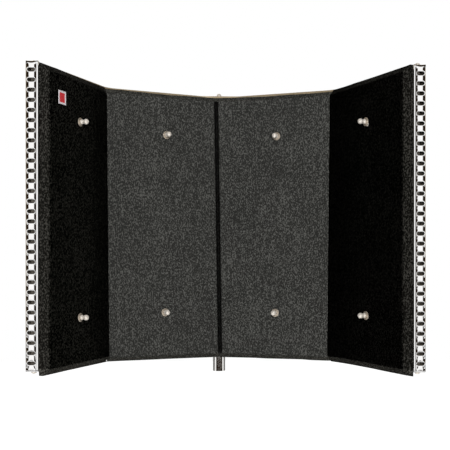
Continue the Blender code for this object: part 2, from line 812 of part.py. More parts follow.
def edge_screw_cutter(datum):
    shape = bmesh.new()
    hole = EDGE_SCREW_RADIUS + GAP
    for name, place, _ in edge_screw_places():
        inward = Vector((0, 0, -1 if name.endswith("top") else 1))
        end = place + (EDGE_SCREW_LENGTH + GAP) * inward
        cylinder(shape, hole, place - CUT_MARGIN * inward, end, SMALL_HOLE_STEPS)
    return add_cutter("edge_screw_cutter", mesh_of("edge_screw_cutter", shape), parent=datum)


def add_tie_bars(datum, screw_cutter):
    """A square bar inside each strip, tapped at both ends, and a dome screw in each end."""
    half = TIE_BAR_WIDTH / 2
    inside = SHELL_DEPTH + GAP
    low = SHELL_BOTTOM + inside
    high = SHELL_TOP - inside
    for side, sign in (("left", -1), ("right", 1)):
        mesh = box_mesh("tie_bar_" + side, (-half, -half, low), (half, half, high))
        place = (sign * TIE_BAR_X, TIE_BAR_Y, 0)
        bar = add_part("tie_bar_" + side, mesh, "black_metal", place, parent=datum)
        boolean(bar, screw_cutter)
    head = EDGE_SCREW_HEAD_HEIGHT
    wide = EDGE_SCREW_HEAD_RADIUS
    profile = [(wide * across, head * up) for across, up in EDGE_SCREW_DOME]
    profile += [
        (wide, 0),
        (EDGE_SCREW_RADIUS, 0),
        (EDGE_SCREW_RADIUS, -EDGE_SCREW_LENGTH),
        (0, -EDGE_SCREW_LENGTH),
    ]
    screw = turned_mesh("edge_screw", profile)
    for name, place, turn in edge_screw_places():
        add_part("edge_screw_" + name, screw, "chrome", place, turn, datum)


def rivet_places():
    """The seat of each bracket rivet's head, on the bracket's outer face."""
    face = shell_back_y() + GAP + BRACKET_DEPTH + GAP
    top = TOP_LUG_Z + TOP_LUG_DEPTH - RIVET_FROM_LUG
    low = LOW_LUG_Z + RIVET_FROM_LUG
    return [
        (f"{level}_{side}", Vector((sign * RIVET_X, face, z)))
        for level, z in (("top", top), ("low", low))
        for side, sign in (("left", -1), ("right", 1))
    ]


def shell_back_y():
    return BARRIER_CREASE_Y + SHELL_NEAR + SHELL_DEPTH


def rivet_cutter(name, radius, inner_y, datum):
    """Bars along the four rivets, from a depth inside the filter out past the brackets."""
    shape = bmesh.new()
    for _, place in rivet_places():
        start = Vector((place.x, inner_y, place.z))
        cylinder(shape, radius, start, place + Vector((0, CUT_MARGIN, 0)), SMALL_HOLE_STEPS)
    return add_cutter(name, mesh_of(name, shape), parent=datum)


def add_bracket(name, lug_low, lug_high, plate_low, plate_high, hole, datum, rivets):
    """A plate on the shell's back with a round-ended lug to the post."""
    face = shell_back_y() + GAP
    back = face + BRACKET_DEPTH
    plate = box_mesh(name, (-BRACKET_HALF, face, plate_low), (BRACKET_HALF, back, plate_high))
    bracket = add_part(name, plate, "black_metal", (0, 0, 0), parent=datum)
    shape = bmesh.new()
    inside = face + BRACKET_DEPTH / 2
    box(shape, (-BRACKET_LUG_HALF, inside, lug_low), (BRACKET_LUG_HALF, POST_Y, lug_high))
    boolean(bracket, add_cutter(name + "_lug", mesh_of(name + "_lug", shape), parent=datum), "UNION")
    ends = ((0, POST_Y, lug_low), (0, POST_Y, lug_high))
    disc = cylinder_mesh(name + "_lug_end", BRACKET_LUG_HALF, *ends)
    boolean(bracket, add_cutter(name + "_lug_end", disc, parent=datum), "UNION")
    ends = ((0, POST_Y, lug_low - CUT_MARGIN), (0, POST_Y, lug_high + CUT_MARGIN))
    drill = cylinder_mesh(name + "_hole", hole, *ends)
    boolean(bracket, add_cutter(name + "_hole", drill, parent=datum))
    boolean(bracket, rivets)


def add_rivets(datum):
    head = RIVET_HEAD_HEIGHT
    wide = RIVET_HEAD_RADIUS
    grip = GAP + BRACKET_DEPTH + GAP + SHELL_DEPTH + GAP
    profile = [(wide * across, head * up) for across, up in RIVET_DOME]
    profile += [
        (RIVET_RADIUS, 0),
        (RIVET_RADIUS, -grip),
        (RIVET_TAIL_RADIUS, -grip),
        (RIVET_TAIL_RADIUS, -grip - RIVET_TAIL_DEPTH),
        (0, -grip - RIVET_TAIL_DEPTH),
    ]
    rivet = turned_mesh("bracket_rivet", profile, SMALL_HOLE_STEPS)
    for name, place in rivet_places():
        add_part("bracket_rivet_" + name, rivet, "chrome", place, (-math.pi / 2, 0, 0), datum)


def add_post(datum, rivets):
    """The rear post with its end plug, its two brackets and the dome stud on its top."""
    wall_radius = POST_RADIUS - POST_WALL
    profile = [
        (POST_RADIUS, POST_TOP),
        (POST_RADIUS, POST_BOTTOM),
        (wall_radius, POST_BOTTOM),
        (wall_radius, POST_TOP),
    ]
    place = (0, POST_Y, 0)
    post = turned_mesh("post_tube", profile, ROUND_STEPS, True)
    add_part("post_tube", post, "chrome", place, parent=datum)
    tapped = TOP_STUD_SHANK_RADIUS + GAP
    hole_bottom = POST_TOP - GAP - PLUG_HOLE_DEPTH
    profile = [
        (0, hole_bottom),
        (tapped, hole_bottom),
        (tapped, POST_TOP - GAP),
        (wall_radius - GAP, POST_TOP - GAP),
        (wall_radius - GAP, POST_TOP - GAP - PLUG_LENGTH),
        (0, POST_TOP - GAP - PLUG_LENGTH),
    ]
    add_part("post_plug", turned_mesh("post_plug", profile, ROUND_STEPS), "black_metal", place, parent=datum)
    lug_top = TOP_LUG_Z + TOP_LUG_DEPTH
    foot = lug_top + GAP
    dome_z = TOP_STUD_TIP - TOP_STUD_RADIUS
    profile = arc(TOP_STUD_RADIUS, dome_z, 90, 0, DOME_STEPS)
    profile += [
        (TOP_STUD_RADIUS, foot + TOP_STUD_CHAMFER),
        (TOP_STUD_FOOT_RADIUS, foot),
        (TOP_STUD_SHANK_RADIUS, foot),
        (TOP_STUD_SHANK_RADIUS, hole_bottom + TOP_STUD_HOLE_SPARE),
        (0, hole_bottom + TOP_STUD_HOLE_SPARE),
    ]
    add_part("post_dome_screw", turned_mesh("post_dome_screw", profile), "chrome", place, parent=datum)
    add_bracket(
        "top_bracket",
        TOP_LUG_Z,
        lug_top,
        lug_top - BRACKET_HEIGHT,
        lug_top,
        tapped,
        datum,
        rivets,
    )
    add_bracket(
        "low_bracket",
        LOW_LUG_Z,
        LOW_LUG_Z + LOW_LUG_DEPTH,
        LOW_LUG_Z,
        LOW_LUG_Z + BRACKET_HEIGHT,
        POST_RADIUS + GAP,
        datum,
        rivets,
    )
    add_rivets(datum)


def add_bush(post_axis):
    """A slit nylon bush between the post and the clamp, with a flange on the clamp's top."""
    seat = CLAMP_TOP + GAP
    foot = CLAMP_BOTTOM + BUSH_SET_IN
    profile = [
        (BUSH_FLANGE_RADIUS, seat + BUSH_FLANGE_DEPTH),
        (BUSH_FLANGE_RADIUS, seat),
        (BUSH_OUTER, seat),
        (BUSH_OUTER, foot),
        (BUSH_INNER, foot),
        (BUSH_INNER, seat + BUSH_FLANGE_DEPTH),
    ]
    mesh = turned_mesh("post_bush", profile, ROUND_STEPS, True)
    bush = add_part("post_bush", mesh, "nylon", (0, 0, 0), parent=post_axis)
    half = BUSH_SLIT / 2
    low = (-half, -2 * BUSH_FLANGE_RADIUS, foot - CUT_MARGIN)
    high = (half, -BUSH_INNER / 2, seat + CUT_MARGIN)
    boolean(bush, add_cutter("bush_slit", box_mesh("bush_slit", low, high), parent=post_axis))


def add_clamp(post_axis):
    """The clamp's body: a barrel round the post, a screw boss and an ear for the tilt pivot."""
    barrel = cylinder_mesh("clamp_body", CLAMP_RADIUS, (0, 0, CLAMP_BOTTOM), (0, 0, CLAMP_TOP))
    clamp = add_part("clamp_body", barrel, "black_metal", (0, 0, 0), parent=post_axis)
    back = CLAMP_BACK_Y - POST_Y
    pivot = TILT_Y - POST_Y
    block = box_mesh(
        "clamp_block",
        (-CLAMP_HALF, 0, CLAMP_BOTTOM + CLAMP_BLOCK_SET_IN),
        (CLAMP_HALF, back, CLAMP_TOP - CLAMP_BLOCK_SET_IN),
    )
    screw_z = CLAMP_SCREW_Z
    boss_end = CLAMP_BOSS_Y - POST_Y
    boss = cylinder_mesh("clamp_boss", CLAMP_BOSS_RADIUS, (0, back / 2, screw_z), (0, boss_end, screw_z))
    ear_half = TILT_EAR_RADIUS - EAR_SET_IN
    ear = box_mesh(
        "clamp_ear",
        (-TILT_EAR_HALF, back / 2, TILT_Z - ear_half),
        (TILT_EAR_HALF, pivot, TILT_Z + ear_half),
    )
    ends = ((-TILT_EAR_HALF, pivot, TILT_Z), (TILT_EAR_HALF, pivot, TILT_Z))
    ear_end = cylinder_mesh("clamp_ear_end", TILT_EAR_RADIUS, *ends)
    for name, mesh in (("block", block), ("boss", boss), ("ear", ear), ("ear_end", ear_end)):
        boolean(clamp, add_cutter("clamp_" + name + "_form", mesh, parent=post_axis), "UNION")
    ends = ((0, 0, CLAMP_BOTTOM - CUT_MARGIN), (0, 0, CLAMP_TOP + CUT_MARGIN))
    bore = cylinder_mesh("clamp_bore", BUSH_OUTER + GAP, *ends, ROUND_STEPS)
    wide = PRESSURE_PAD_RADIUS + SLIDING_GAP
    screw_bore = cylinder_mesh("screw_bore", wide, (0, 0, screw_z), (0, boss_end + CUT_MARGIN, screw_z))
    reach = TILT_EAR_HALF + CUT_MARGIN
    ends = ((-reach, pivot, TILT_Z), (reach, pivot, TILT_Z))
    pivot_bore = cylinder_mesh("tilt_bore", TILT_BOLT_RADIUS + GAP, *ends, HOLE_STEPS)
    for name, mesh in (("bore", bore), ("screw_bore", screw_bore), ("tilt_bore", pivot_bore)):
        boolean(clamp, add_cutter("clamp_" + name + "_cutter", mesh, parent=post_axis))


def knob_mesh(name, radius, depth, bore, bore_depth):
    """A lobed knob. Z = 0 is the side with its bore."""
    shape = bmesh.new()
    verts = cylinder(shape, radius, (0, 0, 0), (0, 0, depth), 6 * KNOB_LOBES)
    for vert in verts:
        angle = math.atan2(vert.co.y, vert.co.x)
        waist = 1 - KNOB_LOBE_DEPTH * (1 - math.cos(KNOB_LOBES * angle)) / 2
        vert.co.x *= waist
        vert.co.y *= waist
    rims = [edge for edge in shape.edges if abs(edge.verts[0].co.z - edge.verts[1].co.z) < GAP]
    bmesh.ops.bevel(
        shape,
        geom=rims,
        offset=KNOB_ROUNDING,
        segments=2,
        profile=0.5,
        affect="EDGES",
    )
    blank = add_object(name + "_blank", mesh_of(name, shape), CUTTERS, (0, 0, 0))
    drill_mesh = cylinder_mesh(name + "_bore", bore, (0, 0, -CUT_MARGIN), (0, 0, bore_depth), HOLE_STEPS)
    drill = add_cutter(name + "_bore", drill_mesh)
    boolean(blank, drill)
    mesh = solid_of(blank, name)
    for used in (blank, drill):
        bpy.data.objects.remove(used, do_unlink=True)
    return mesh


def add_clamp_screw(screw_axis):
    """The pressure pad, the screw behind it and the knob on the screw. Y runs along the screw."""
    turn = (-math.pi / 2, 0, 0)
    near = BUSH_OUTER + 2 * GAP
    far = near + PRESSURE_PAD_DEPTH
    pad = cylinder_mesh("pressure_pad", PRESSURE_PAD_RADIUS, (0, 0, near), (0, 0, far), HOLE_STEPS)
    add_part("pressure_pad", pad, "brass", (0, 0, 0), turn, screw_axis)
    end = CLAMP_SCREW_END_Y - POST_Y
    screw = cylinder_mesh("clamp_screw", CLAMP_SCREW_RADIUS, (0, 0, far + GAP), (0, 0, end), HOLE_STEPS)
    add_part("clamp_screw", screw, "chrome", (0, 0, 0), turn, screw_axis)
    start = CLAMP_KNOB_Y - POST_Y
    bore_depth = end - start + GAP
    knob = knob_mesh(
        "clamp_knob",
        CLAMP_KNOB_RADIUS,
        CLAMP_KNOB_DEPTH,
        CLAMP_SCREW_RADIUS + GAP,
        bore_depth,
    )
    add_part("clamp_knob", knob, "plastic", (0, start, 0), turn, screw_axis)


def add_stand_socket(tilt_axis):
    """The threaded socket with its fork, the tilt bolt and the tilt knob. X is the tilt axis."""
    drop = SOCKET_BOTTOM - TILT_Z
    top = FORK_BASE_BOTTOM + FORK_ROOT - TILT_Z
    roof = drop + SOCKET_THREAD_DEPTH
    wide = SOCKET_RADIUS
    chamfer = SOCKET_CHAMFER
    profile = [
        (0, top),
        (wide - chamfer, top),
        (wide, top - chamfer),
        (wide, drop + chamfer),
        (wide - chamfer, drop),
        (SOCKET_THREAD_RADIUS, drop),
        (SOCKET_THREAD_RADIUS, roof),
        (0, roof),
    ]
    mesh = turned_mesh("stand_socket", profile, ROUND_STEPS)
    socket = add_part("stand_socket", mesh, "black_metal", (0, 0, 0), parent=tilt_axis)
    inner = TILT_EAR_HALF + SLIDING_GAP
    outer = inner + FORK_DEPTH
    half = TILT_EAR_RADIUS
    base_low = FORK_BASE_BOTTOM - TILT_Z
    base_high = FORK_BASE_TOP - TILT_Z
    forms = [box_mesh("fork_base", (-outer, -half, base_low), (outer, half, base_high))]
    for sign in (-1, 1):
        low_x, high_x = sorted((sign * inner, sign * outer))
        low = (low_x, -half + EAR_SET_IN, base_high - FORK_ROOT)
        forms.append(box_mesh("fork_arm", low, (high_x, half - EAR_SET_IN, 0)))
        forms.append(cylinder_mesh("fork_end", half, (low_x, 0, 0), (high_x, 0, 0)))
    for i, form in enumerate(forms):
        boolean(socket, add_cutter(f"fork_form_{i}", form, parent=tilt_axis), "UNION")
    reach = outer + CUT_MARGIN
    bore = cylinder_mesh("fork_bore", TILT_BOLT_RADIUS + GAP, (-reach, 0, 0), (reach, 0, 0), HOLE_STEPS)
    boolean(socket, add_cutter("fork_bore_cutter", bore, parent=tilt_axis))
    add_tilt_bolt(tilt_axis, outer)


def add_tilt_bolt(tilt_axis, fork_outer):
    """The tilt bolt, its hexagon head on the left, and the knob that screws onto its right end."""
    turn = (0, math.pi / 2, 0)
    seat = fork_outer + GAP
    knob_start = fork_outer + 2 * GAP
    end = knob_start + TILT_BOLT_IN_KNOB
    shape = bmesh.new()
    cylinder(shape, TILT_HEAD_RADIUS, (0, 0, -seat - TILT_HEAD_DEPTH), (0, 0, -seat), 6)
    bolt = add_part("tilt_bolt", mesh_of("tilt_bolt", shape), "chrome", (0, 0, 0), turn, tilt_axis)
    start = (0, 0, -seat - TILT_HEAD_DEPTH / 2)
    shank = cylinder_mesh("tilt_shank", TILT_BOLT_RADIUS, start, (0, 0, end), HOLE_STEPS)
    boolean(bolt, add_cutter("tilt_shank_form", shank, turn=turn, parent=tilt_axis), "UNION")
    knob = knob_mesh(
        "tilt_knob",
        TILT_KNOB_RADIUS,
        TILT_KNOB_DEPTH,
        TILT_BOLT_RADIUS + GAP,
        end - knob_start + GAP,
    )
    add_part("tilt_knob", knob, "plastic", (knob_start, 0, 0), turn, tilt_axis)


def main():
    datum = add_datum("filter_datum", DATUM)
    post_axis = add_datum("post_axis", (0, POST_Y, 0), datum)
    screw_axis = add_datum("clamp_screw_axis", (0, 0, CLAMP_SCREW_Z), post_axis)
    tilt_axis = add_datum("tilt_axis", (0, TILT_Y, TILT_Z), datum)
    stud_holes = stud_hole_cutter(datum)
    screw_holes = edge_screw_cutter(datum)
    slots = slot_cutter(datum)
    rivets = rivet_cutter("rivet_cutter", RIVET_RADIUS + GAP, BARRIER_CREASE_Y + SHELL_NEAR - GAP, datum)
    pocket_y = BARRIER_CREASE_Y + SHELL_NEAR - GAP - 2 * RIVET_TAIL_DEPTH
    pockets = rivet_cutter("rivet_pocket_cutter", RIVET_TAIL_RADIUS + GAP, pocket_y, datum)
    add_pads(datum, stud_holes)
    add_tag(datum)
    add_layer(
        "barrier_sheet",
        "sheet",
        0,
        BARRIER_DEPTH,
        (BARRIER_BOTTOM, BARRIER_TOP),
        BARRIER_FRONT_Y,
        datum,
        (stud_holes,),
    )
    add_layer(
        "wool_blanket",
        "wool",
        BLANKET_NEAR,
        BLANKET_DEPTH,
        (BLANKET_BOTTOM, BLANKET_TOP),
        BLANKET_FRONT_Y,
        datum,
        (stud_holes, pockets),
    )
    add_shell(datum, (stud_holes, slots, screw_holes, rivets))
    add_studs(datum)
    add_tie_bars(datum, screw_holes)
    add_post(datum, rivets)
    add_bush(post_axis)
    add_clamp(post_axis)
    add_clamp_screw(screw_axis)
    add_stand_socket(tilt_axis)


clear_scene()
PARTS = new_collection("microphone_reflection_filter")
CUTTERS = new_collection("cutters")
main()
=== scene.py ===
"""Looks of the microphone reflection filter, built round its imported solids.

World frame: +X to the right seen from the microphone, +Y away from it, +Z up, metres. Sizes in the
sub-assemblies are counted from the filter's datum: the crease between the two centre pads, at the
height of the wing pads' lower edge. Plan points are those of the right half, and Side mirrors them.
"""

import logging
import math
from bisect import bisect_right
from dataclasses import dataclass, field
from enum import Enum
from typing import Callable, Iterable, Sequence

import bmesh
import bpy
from mathutils import Matrix, Vector, geometry, noise


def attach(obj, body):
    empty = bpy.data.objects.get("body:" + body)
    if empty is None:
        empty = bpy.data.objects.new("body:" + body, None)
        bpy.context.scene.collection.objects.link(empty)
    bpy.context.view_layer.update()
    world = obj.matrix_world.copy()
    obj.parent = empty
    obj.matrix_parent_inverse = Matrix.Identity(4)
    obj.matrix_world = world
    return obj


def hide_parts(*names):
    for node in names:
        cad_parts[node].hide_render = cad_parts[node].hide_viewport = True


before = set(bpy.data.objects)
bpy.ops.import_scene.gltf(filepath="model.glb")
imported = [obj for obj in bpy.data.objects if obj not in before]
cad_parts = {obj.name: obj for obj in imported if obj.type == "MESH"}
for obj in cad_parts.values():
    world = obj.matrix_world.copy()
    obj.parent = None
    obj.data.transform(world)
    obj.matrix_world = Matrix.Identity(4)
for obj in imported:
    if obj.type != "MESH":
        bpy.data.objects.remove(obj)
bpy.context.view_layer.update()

LOG = logging.getLogger("reflection_filter")
MM = 0.001
DATUM = Vector((0.0, -98 * MM, -20 * MM))
SHARP = math.radians(35)

Colour = tuple[float, float, float]
Plan = tuple[float, float]


class Side(Enum):
    """The filter's two sides, by the sign of X."""

    LEFT = -1
    RIGHT = 1

    @property
    def word(self) -> str:
        """The side's name inside a piece name."""
        return self.name.lower()

    def place(self, point: Vector) -> Vector:
        """The world place of a right-half point on this side."""
        return DATUM + Vector((self.value * point.x, point.y, point.z))

    def turned(self, way: Vector) -> Vector:
        """A right-half direction on this side."""
        return Vector((self.value * way.x, way.y, way.z))


class Body(Enum):
    """The moving body that the new pieces ride on."""

    FILTER = "filter"


# --------------------------------------------------------------------------------------------------
# Shader maths
# --------------------------------------------------------------------------------------------------


class Socket:
    """One output socket, with Python operators that add Math or Vector Math nodes."""

    def __init__(self, tree: "Tree", link: bpy.types.NodeSocket) -> None:
        """Wrap a socket.

        Args:
            tree: The tree that the socket's node is in.
            link: The output socket itself.
        """
        self.tree = tree
        self.link = link

    def _math(self, operation: str, first: "Value", second: "Value") -> "Socket":
        """Add a Math node.

        Args:
            operation: The Math node's operation.
            first: The first input.
            second: The second input.

        Returns:
            The node's result.
        """
        return self.tree.node("Math", {"operation": operation}, {0: first, 1: second})

    def __add__(self, other: "Value") -> "Socket":
        """self + other."""
        return self._math("ADD", self, other)

    def __radd__(self, other: "Value") -> "Socket":
        """other + self."""
        return self._math("ADD", other, self)

    def __sub__(self, other: "Value") -> "Socket":
        """self - other."""
        return self._math("SUBTRACT", self, other)

    def __rsub__(self, other: "Value") -> "Socket":
        """other - self."""
        return self._math("SUBTRACT", other, self)

    def __mul__(self, other: "Value") -> "Socket":
        """self * other."""
        return self._math("MULTIPLY", self, other)

    def __rmul__(self, other: "Value") -> "Socket":
        """other * self."""
        return self._math("MULTIPLY", other, self)

    def wave(self) -> "Socket":
        """The sine of self."""
        return self._math("SINE", self, 0.0)

    def ramp(self, low: float, high: float, start: float = 0.0, end: float = 1.0) -> "Socket":
        """Map a range smoothly onto another, held at its ends.

        Args:
            low: Where the source range starts.
            high: Where the source range ends.
            start: The value at its start.
            end: The value at its end.

        Returns:
            The mapped value.
        """
        inputs = {"Value": self, "From Min": low, "From Max": high, "To Min": start, "To Max": end}
        return self.tree.node("MapRange", {"interpolation_type": "SMOOTHSTEP", "clamp": True}, inputs)

    def scaled(self, factors: Sequence[float]) -> "Socket":
        """A vector multiplied part by part.

        Args:
            factors: The three factors.

        Returns:
            The scaled vector.
        """
        return self.tree.node("VectorMath", {"operation": "MULTIPLY"}, {0: self, 1: tuple(factors)})


Value = Socket | float | int | tuple


class Tree:
    """A material's or the world's node tree."""

    def __init__(self, owner: bpy.types.Material | bpy.types.World) -> None:
        """Start with an empty tree.

        Args:
            owner: The material or world whose nodes are made.
        """
        owner.use_nodes = True
        self.nodes = owner.node_tree.nodes
        self.links = owner.node_tree.links
        self.nodes.clear()

    def add(self, kind: str, settings: dict[str, object] | None = None,
            inputs: dict[str | int, Value] | None = None) -> bpy.types.Node:
        """Add a node: its settings come first, then its inputs.

        Args:
            kind: The node's type, without its ShaderNode prefix.
            settings: The node's own settings. Key stops holds a ramp's (place, colour) pairs.
            inputs: Numbers, colours or sockets by the input's name or place.

        Returns:
            The node.
        """
        node = self.nodes.new("ShaderNode" + kind)
        for key, value in (settings or {}).items():
            if key == "stops":
                self._set_stops(node, value)
            else:
                setattr(node, key, value)
        for key, value in (inputs or {}).items():
            target = node.inputs[key]
            if isinstance(value, Socket):
                self.links.new(value.link, target)
            else:
                target.default_value = value
        return node

    @staticmethod
    def _set_stops(node: bpy.types.Node, stops: Iterable[tuple[float, Colour]]) -> None:
        """Set a colour ramp's stops.

        Args:
            node: The Color Ramp node.
            stops: Its (place, colour) pairs, from left to right.
        """
        elements = node.color_ramp.elements
        while len(elements) > 1:
            elements.remove(elements[-1])
        for number, (place, colour) in enumerate(stops):
            element = elements[0] if number == 0 else elements.new(place)
            element.position = place
            element.color = (*colour, 1.0)

    def node(self, kind: str, settings: dict[str, object] | None = None,
             inputs: dict[str | int, Value] | None = None, output: str | int = 0) -> Socket:
        """Add a node and take one of its outputs.

        Args:
            kind: The node's type, without its ShaderNode prefix.
            settings: The node's own settings.
            inputs: The values or links of its inputs.
            output: The output's name or place.

        Returns:
            The output as a socket.
        """
        return Socket(self, self.add(kind, settings, inputs).outputs[output])

    def place(self) -> Socket:
        """The object's own coordinates, which don't move with the camera."""
        return self.node("TexCoord", output="Object")

    def layer(self, name: str) -> Socket:
        """A number that the mesh holds for each of its points."""
        return self.node("Attribute", {"attribute_name": name}, output="Fac")

    def parts(self, vector: Socket) -> tuple[Socket, Socket, Socket]:
        """A vector's three parts.

        Args:
            vector: The vector.

        Returns:
            Its X, Y and Z.
        """
        node = self.add("SeparateXYZ", inputs={0: vector})
        return tuple(Socket(self, node.outputs[i]) for i in range(3))

    def noise(self, vector: Socket, scale: float, detail: float = 3.0, rough: float = 0.55) -> Socket:
        """A noise pattern.

        Args:
            vector: The coordinates.
            scale: Its scale, in waves for each metre.
            detail: How many finer layers it has.
            rough: How strong the finer layers are.

        Returns:
            The noise, about 0 to 1.
        """
        inputs = {"Vector": vector, "Scale": scale, "Detail": detail, "Roughness": rough}
        return self.node("TexNoise", {"noise_dimensions": "3D"}, inputs, "Fac")

    def mix(self, factor: Value, first: "Socket | Colour", second: "Socket | Colour") -> Socket:
        """Mix two colours.

        Args:
            factor: 0 for the first, 1 for the second.
            first: A colour.
            second: Another colour.

        Returns:
            The mixed colour.
        """
        ends = [c if isinstance(c, Socket) else (*c, 1.0) for c in (first, second)]
        inputs = {0: factor, 6: ends[0], 7: ends[1]}
        return self.node("Mix", {"data_type": "RGBA", "clamp_factor": True}, inputs, 2)

    def bump(self, height: Socket, distance: float, strength: float = 1.0) -> Socket:
        """A Bump node's normal.

        Args:
            height: The height, 0 to 1.
            distance: How far 1 stands out, in metres.
            strength: How strong the bump is.

        Returns:
            The bumped normal.
        """
        inputs = {"Height": height, "Distance": distance, "Strength": strength}
        return self.node("Bump", inputs=inputs)

    def surface(self, inputs: dict[str, Value]) -> None:
        """End a material's tree in a Principled shader.

        Args:
            inputs: The shader's inputs by name.
        """
        shader = self.node("BsdfPrincipled", inputs=inputs)
        self.add("OutputMaterial", inputs={"Surface": shader})


# --------------------------------------------------------------------------------------------------
# Finishes
# --------------------------------------------------------------------------------------------------


class Finish:
    """A finish makes one material and keeps it."""

    name: str

    def material(self) -> bpy.types.Material:
        """The finish's material, made on first use.

        Returns:
            The material.
        """
        found = bpy.data.materials.get(self.name)
        if found is None:
            found = bpy.data.materials.new(self.name)
            self.paint(Tree(found))
        return found

    def paint(self, tree: Tree) -> None:
        """Fill the material's tree."""
        raise NotImplementedError


@dataclass(frozen=True)
class WovenFelt(Finish):
    """Dark brushed wool cloth over the pads: mottled yarn with a nap that runs up and down.

    The cloth's face and bevel colour pairs hold painted light and shade: on the wings the bevels are
    painted lighter than the face, on the centre pads darker. The pads' layer "edge" says where which
    colour pair shows, and their layer "light" scales the colour by painted shade in the groove and by a
    wing's fold, and by painted light on a wing's low bevel.
    """

    name: str
    face: tuple[Colour, Colour]
    edge: tuple[Colour, Colour]
    grain: float = 950.0
    streak_scale: float = 420.0
    cloud_scale: float = 18.0
    fibre_scale: float = 1500.0
    # How much streaks, mottle and cloud count, and the range of their sum that the colours span
    shares: tuple[float, float, float] = (0.16, 0.76, 0.08)
    window: tuple[float, float] = (0.42, 0.62)
    depth: float = 0.5 * MM

    def paint(self, tree: Tree) -> None:
        """Mottle, nap streaks, loose flecks and yarn bump.

        Args:
            tree: The material's tree.
        """
        place = tree.place()
        streaks = tree.noise(place.scaled((1.0, 1.0, 0.15)), self.streak_scale, 2.0, 0.5)
        mottle = tree.noise(place.scaled((1.0, 1.0, 0.55)), self.grain, 1.0, 0.4)
        cloud = tree.noise(place, self.cloud_scale, 2.0, 0.5)
        long, short, wide = self.shares
        tone = (long * streaks + short * mottle + wide * cloud).ramp(*self.window)
        fleck = tone * tone
        face = tree.mix(fleck, *self.face)
        edge = tree.mix(fleck, *self.edge)
        fibre = tree.noise(place.scaled((1.0, 1.0, 0.3)), self.fibre_scale, 3.0, 0.7)
        tree.surface({
            # Painted light and shade: the face and bevel pairs mixed by the layer edge, then scaled by
            # the layer light
            "Base Color": tree.node("VectorMath", {"operation": "SCALE"}, {
                0: tree.mix(tree.layer("edge"), face, edge),
                "Scale": tree.layer("light"),
            }),
            "Roughness": 0.94,
            "Specular IOR Level": 0.0,
            "Normal": tree.bump(0.55 * mottle + 0.45 * fibre, self.depth, 0.7),
        })


@dataclass(frozen=True)
class AbsorberWool(Finish):
    """Loose grey wool of the blanket between the sheets."""

    name: str = "absorber_wool"
    dark: Colour = (0.030, 0.028, 0.026)
    light: Colour = (0.15, 0.145, 0.135)
    tuft_scale: float = 260.0
    hair_scale: float = 1700.0
    depth: float = 1.2 * MM

    def paint(self, tree: Tree) -> None:
        """Tangled fibre mottle and bump.

        Args:
            tree: The material's tree.
        """
        place = tree.place()
        tuft = tree.noise(place, self.tuft_scale, 5.0, 0.65)
        hair = tree.noise(place.scaled((1.0, 1.0, 0.4)), self.hair_scale, 3.0, 0.7)
        tone = 0.6 * tuft + 0.4 * hair
        tree.surface({
            "Base Color": tree.mix(tone.ramp(0.35, 0.68), self.dark, self.light),
            "Roughness": 0.97,
            "Specular IOR Level": 0.1,
            "Sheen Weight": 0.15,
            "Normal": tree.bump(tone, self.depth, 0.9),
        })


@dataclass(frozen=True)
class BareMetal(Finish):
    """A bright metal with rolled or turned lines, faint smears and worn roughness."""

    name: str
    colour: Colour
    shade: Colour
    roughness: float
    lines: tuple[float, float, float] = (1.0, 1.0, 0.03)
    line_scale: float = 900.0
    smear_scale: float = 45.0
    depth: float = 0.012 * MM
    metallic: float = 1.0

    def paint(self, tree: Tree) -> None:
        """Fine lines along the rolling direction, and smears.

        Args:
            tree: The material's tree.
        """
        place = tree.place()
        lines = tree.noise(place.scaled(self.lines), self.line_scale, 3.0, 0.6)
        smear = tree.noise(place, self.smear_scale, 3.0, 0.55)
        wear = (0.7 * smear + 0.3 * lines).ramp(0.3, 0.7, self.roughness * 0.75, self.roughness * 1.35)
        tree.surface({
            "Base Color": tree.mix(smear.ramp(0.4, 0.75), self.colour, self.shade),
            "Metallic": self.metallic,
            "Roughness": wear,
            "Normal": tree.bump(lines, self.depth, 0.5),
        })


@dataclass(frozen=True)
class PowderCoat(Finish):
    """Black powder coat with orange peel and lightly rubbed edges."""

    name: str = "powder_coat"
    colour: Colour = (0.022, 0.022, 0.023)
    rubbed: Colour = (0.06, 0.06, 0.06)
    peel_scale: float = 900.0
    rub_scale: float = 70.0
    depth: float = 0.12 * MM

    def paint(self, tree: Tree) -> None:
        """Orange peel, specks and a faint rub.

        Args:
            tree: The material's tree.
        """
        place = tree.place()
        peel = tree.noise(place, self.peel_scale, 2.0, 0.5)
        rub = tree.noise(place, self.rub_scale, 4.0, 0.6)
        tree.surface({
            "Base Color": tree.mix(rub.ramp(0.58, 0.8), self.colour, self.rubbed),
            "Roughness": rub.ramp(0.3, 0.7, 0.36, 0.52),
            "Normal": tree.bump(peel, self.depth, 0.7),
        })


@dataclass(frozen=True)
class MouldedPlastic(Finish):
    """Moulded plastic with a fine spark-eroded grain."""

    name: str
    colour: Colour
    worn: Colour
    roughness: float = 0.5
    grain_scale: float = 2200.0
    wear_scale: float = 90.0
    depth: float = 0.08 * MM

    def paint(self, tree: Tree) -> None:
        """Grain and slight wear.

        Args:
            tree: The material's tree.
        """
        place = tree.place()
        grain = tree.noise(place, self.grain_scale, 2.0, 0.5)
        wear = tree.noise(place, self.wear_scale, 3.0, 0.6)
        tree.surface({
            "Base Color": tree.mix(wear.ramp(0.5, 0.8), self.colour, self.worn),
            "Roughness": wear.ramp(0.3, 0.7, self.roughness * 0.85, self.roughness * 1.15),
            "Normal": tree.bump(grain, self.depth, 0.6),
        })


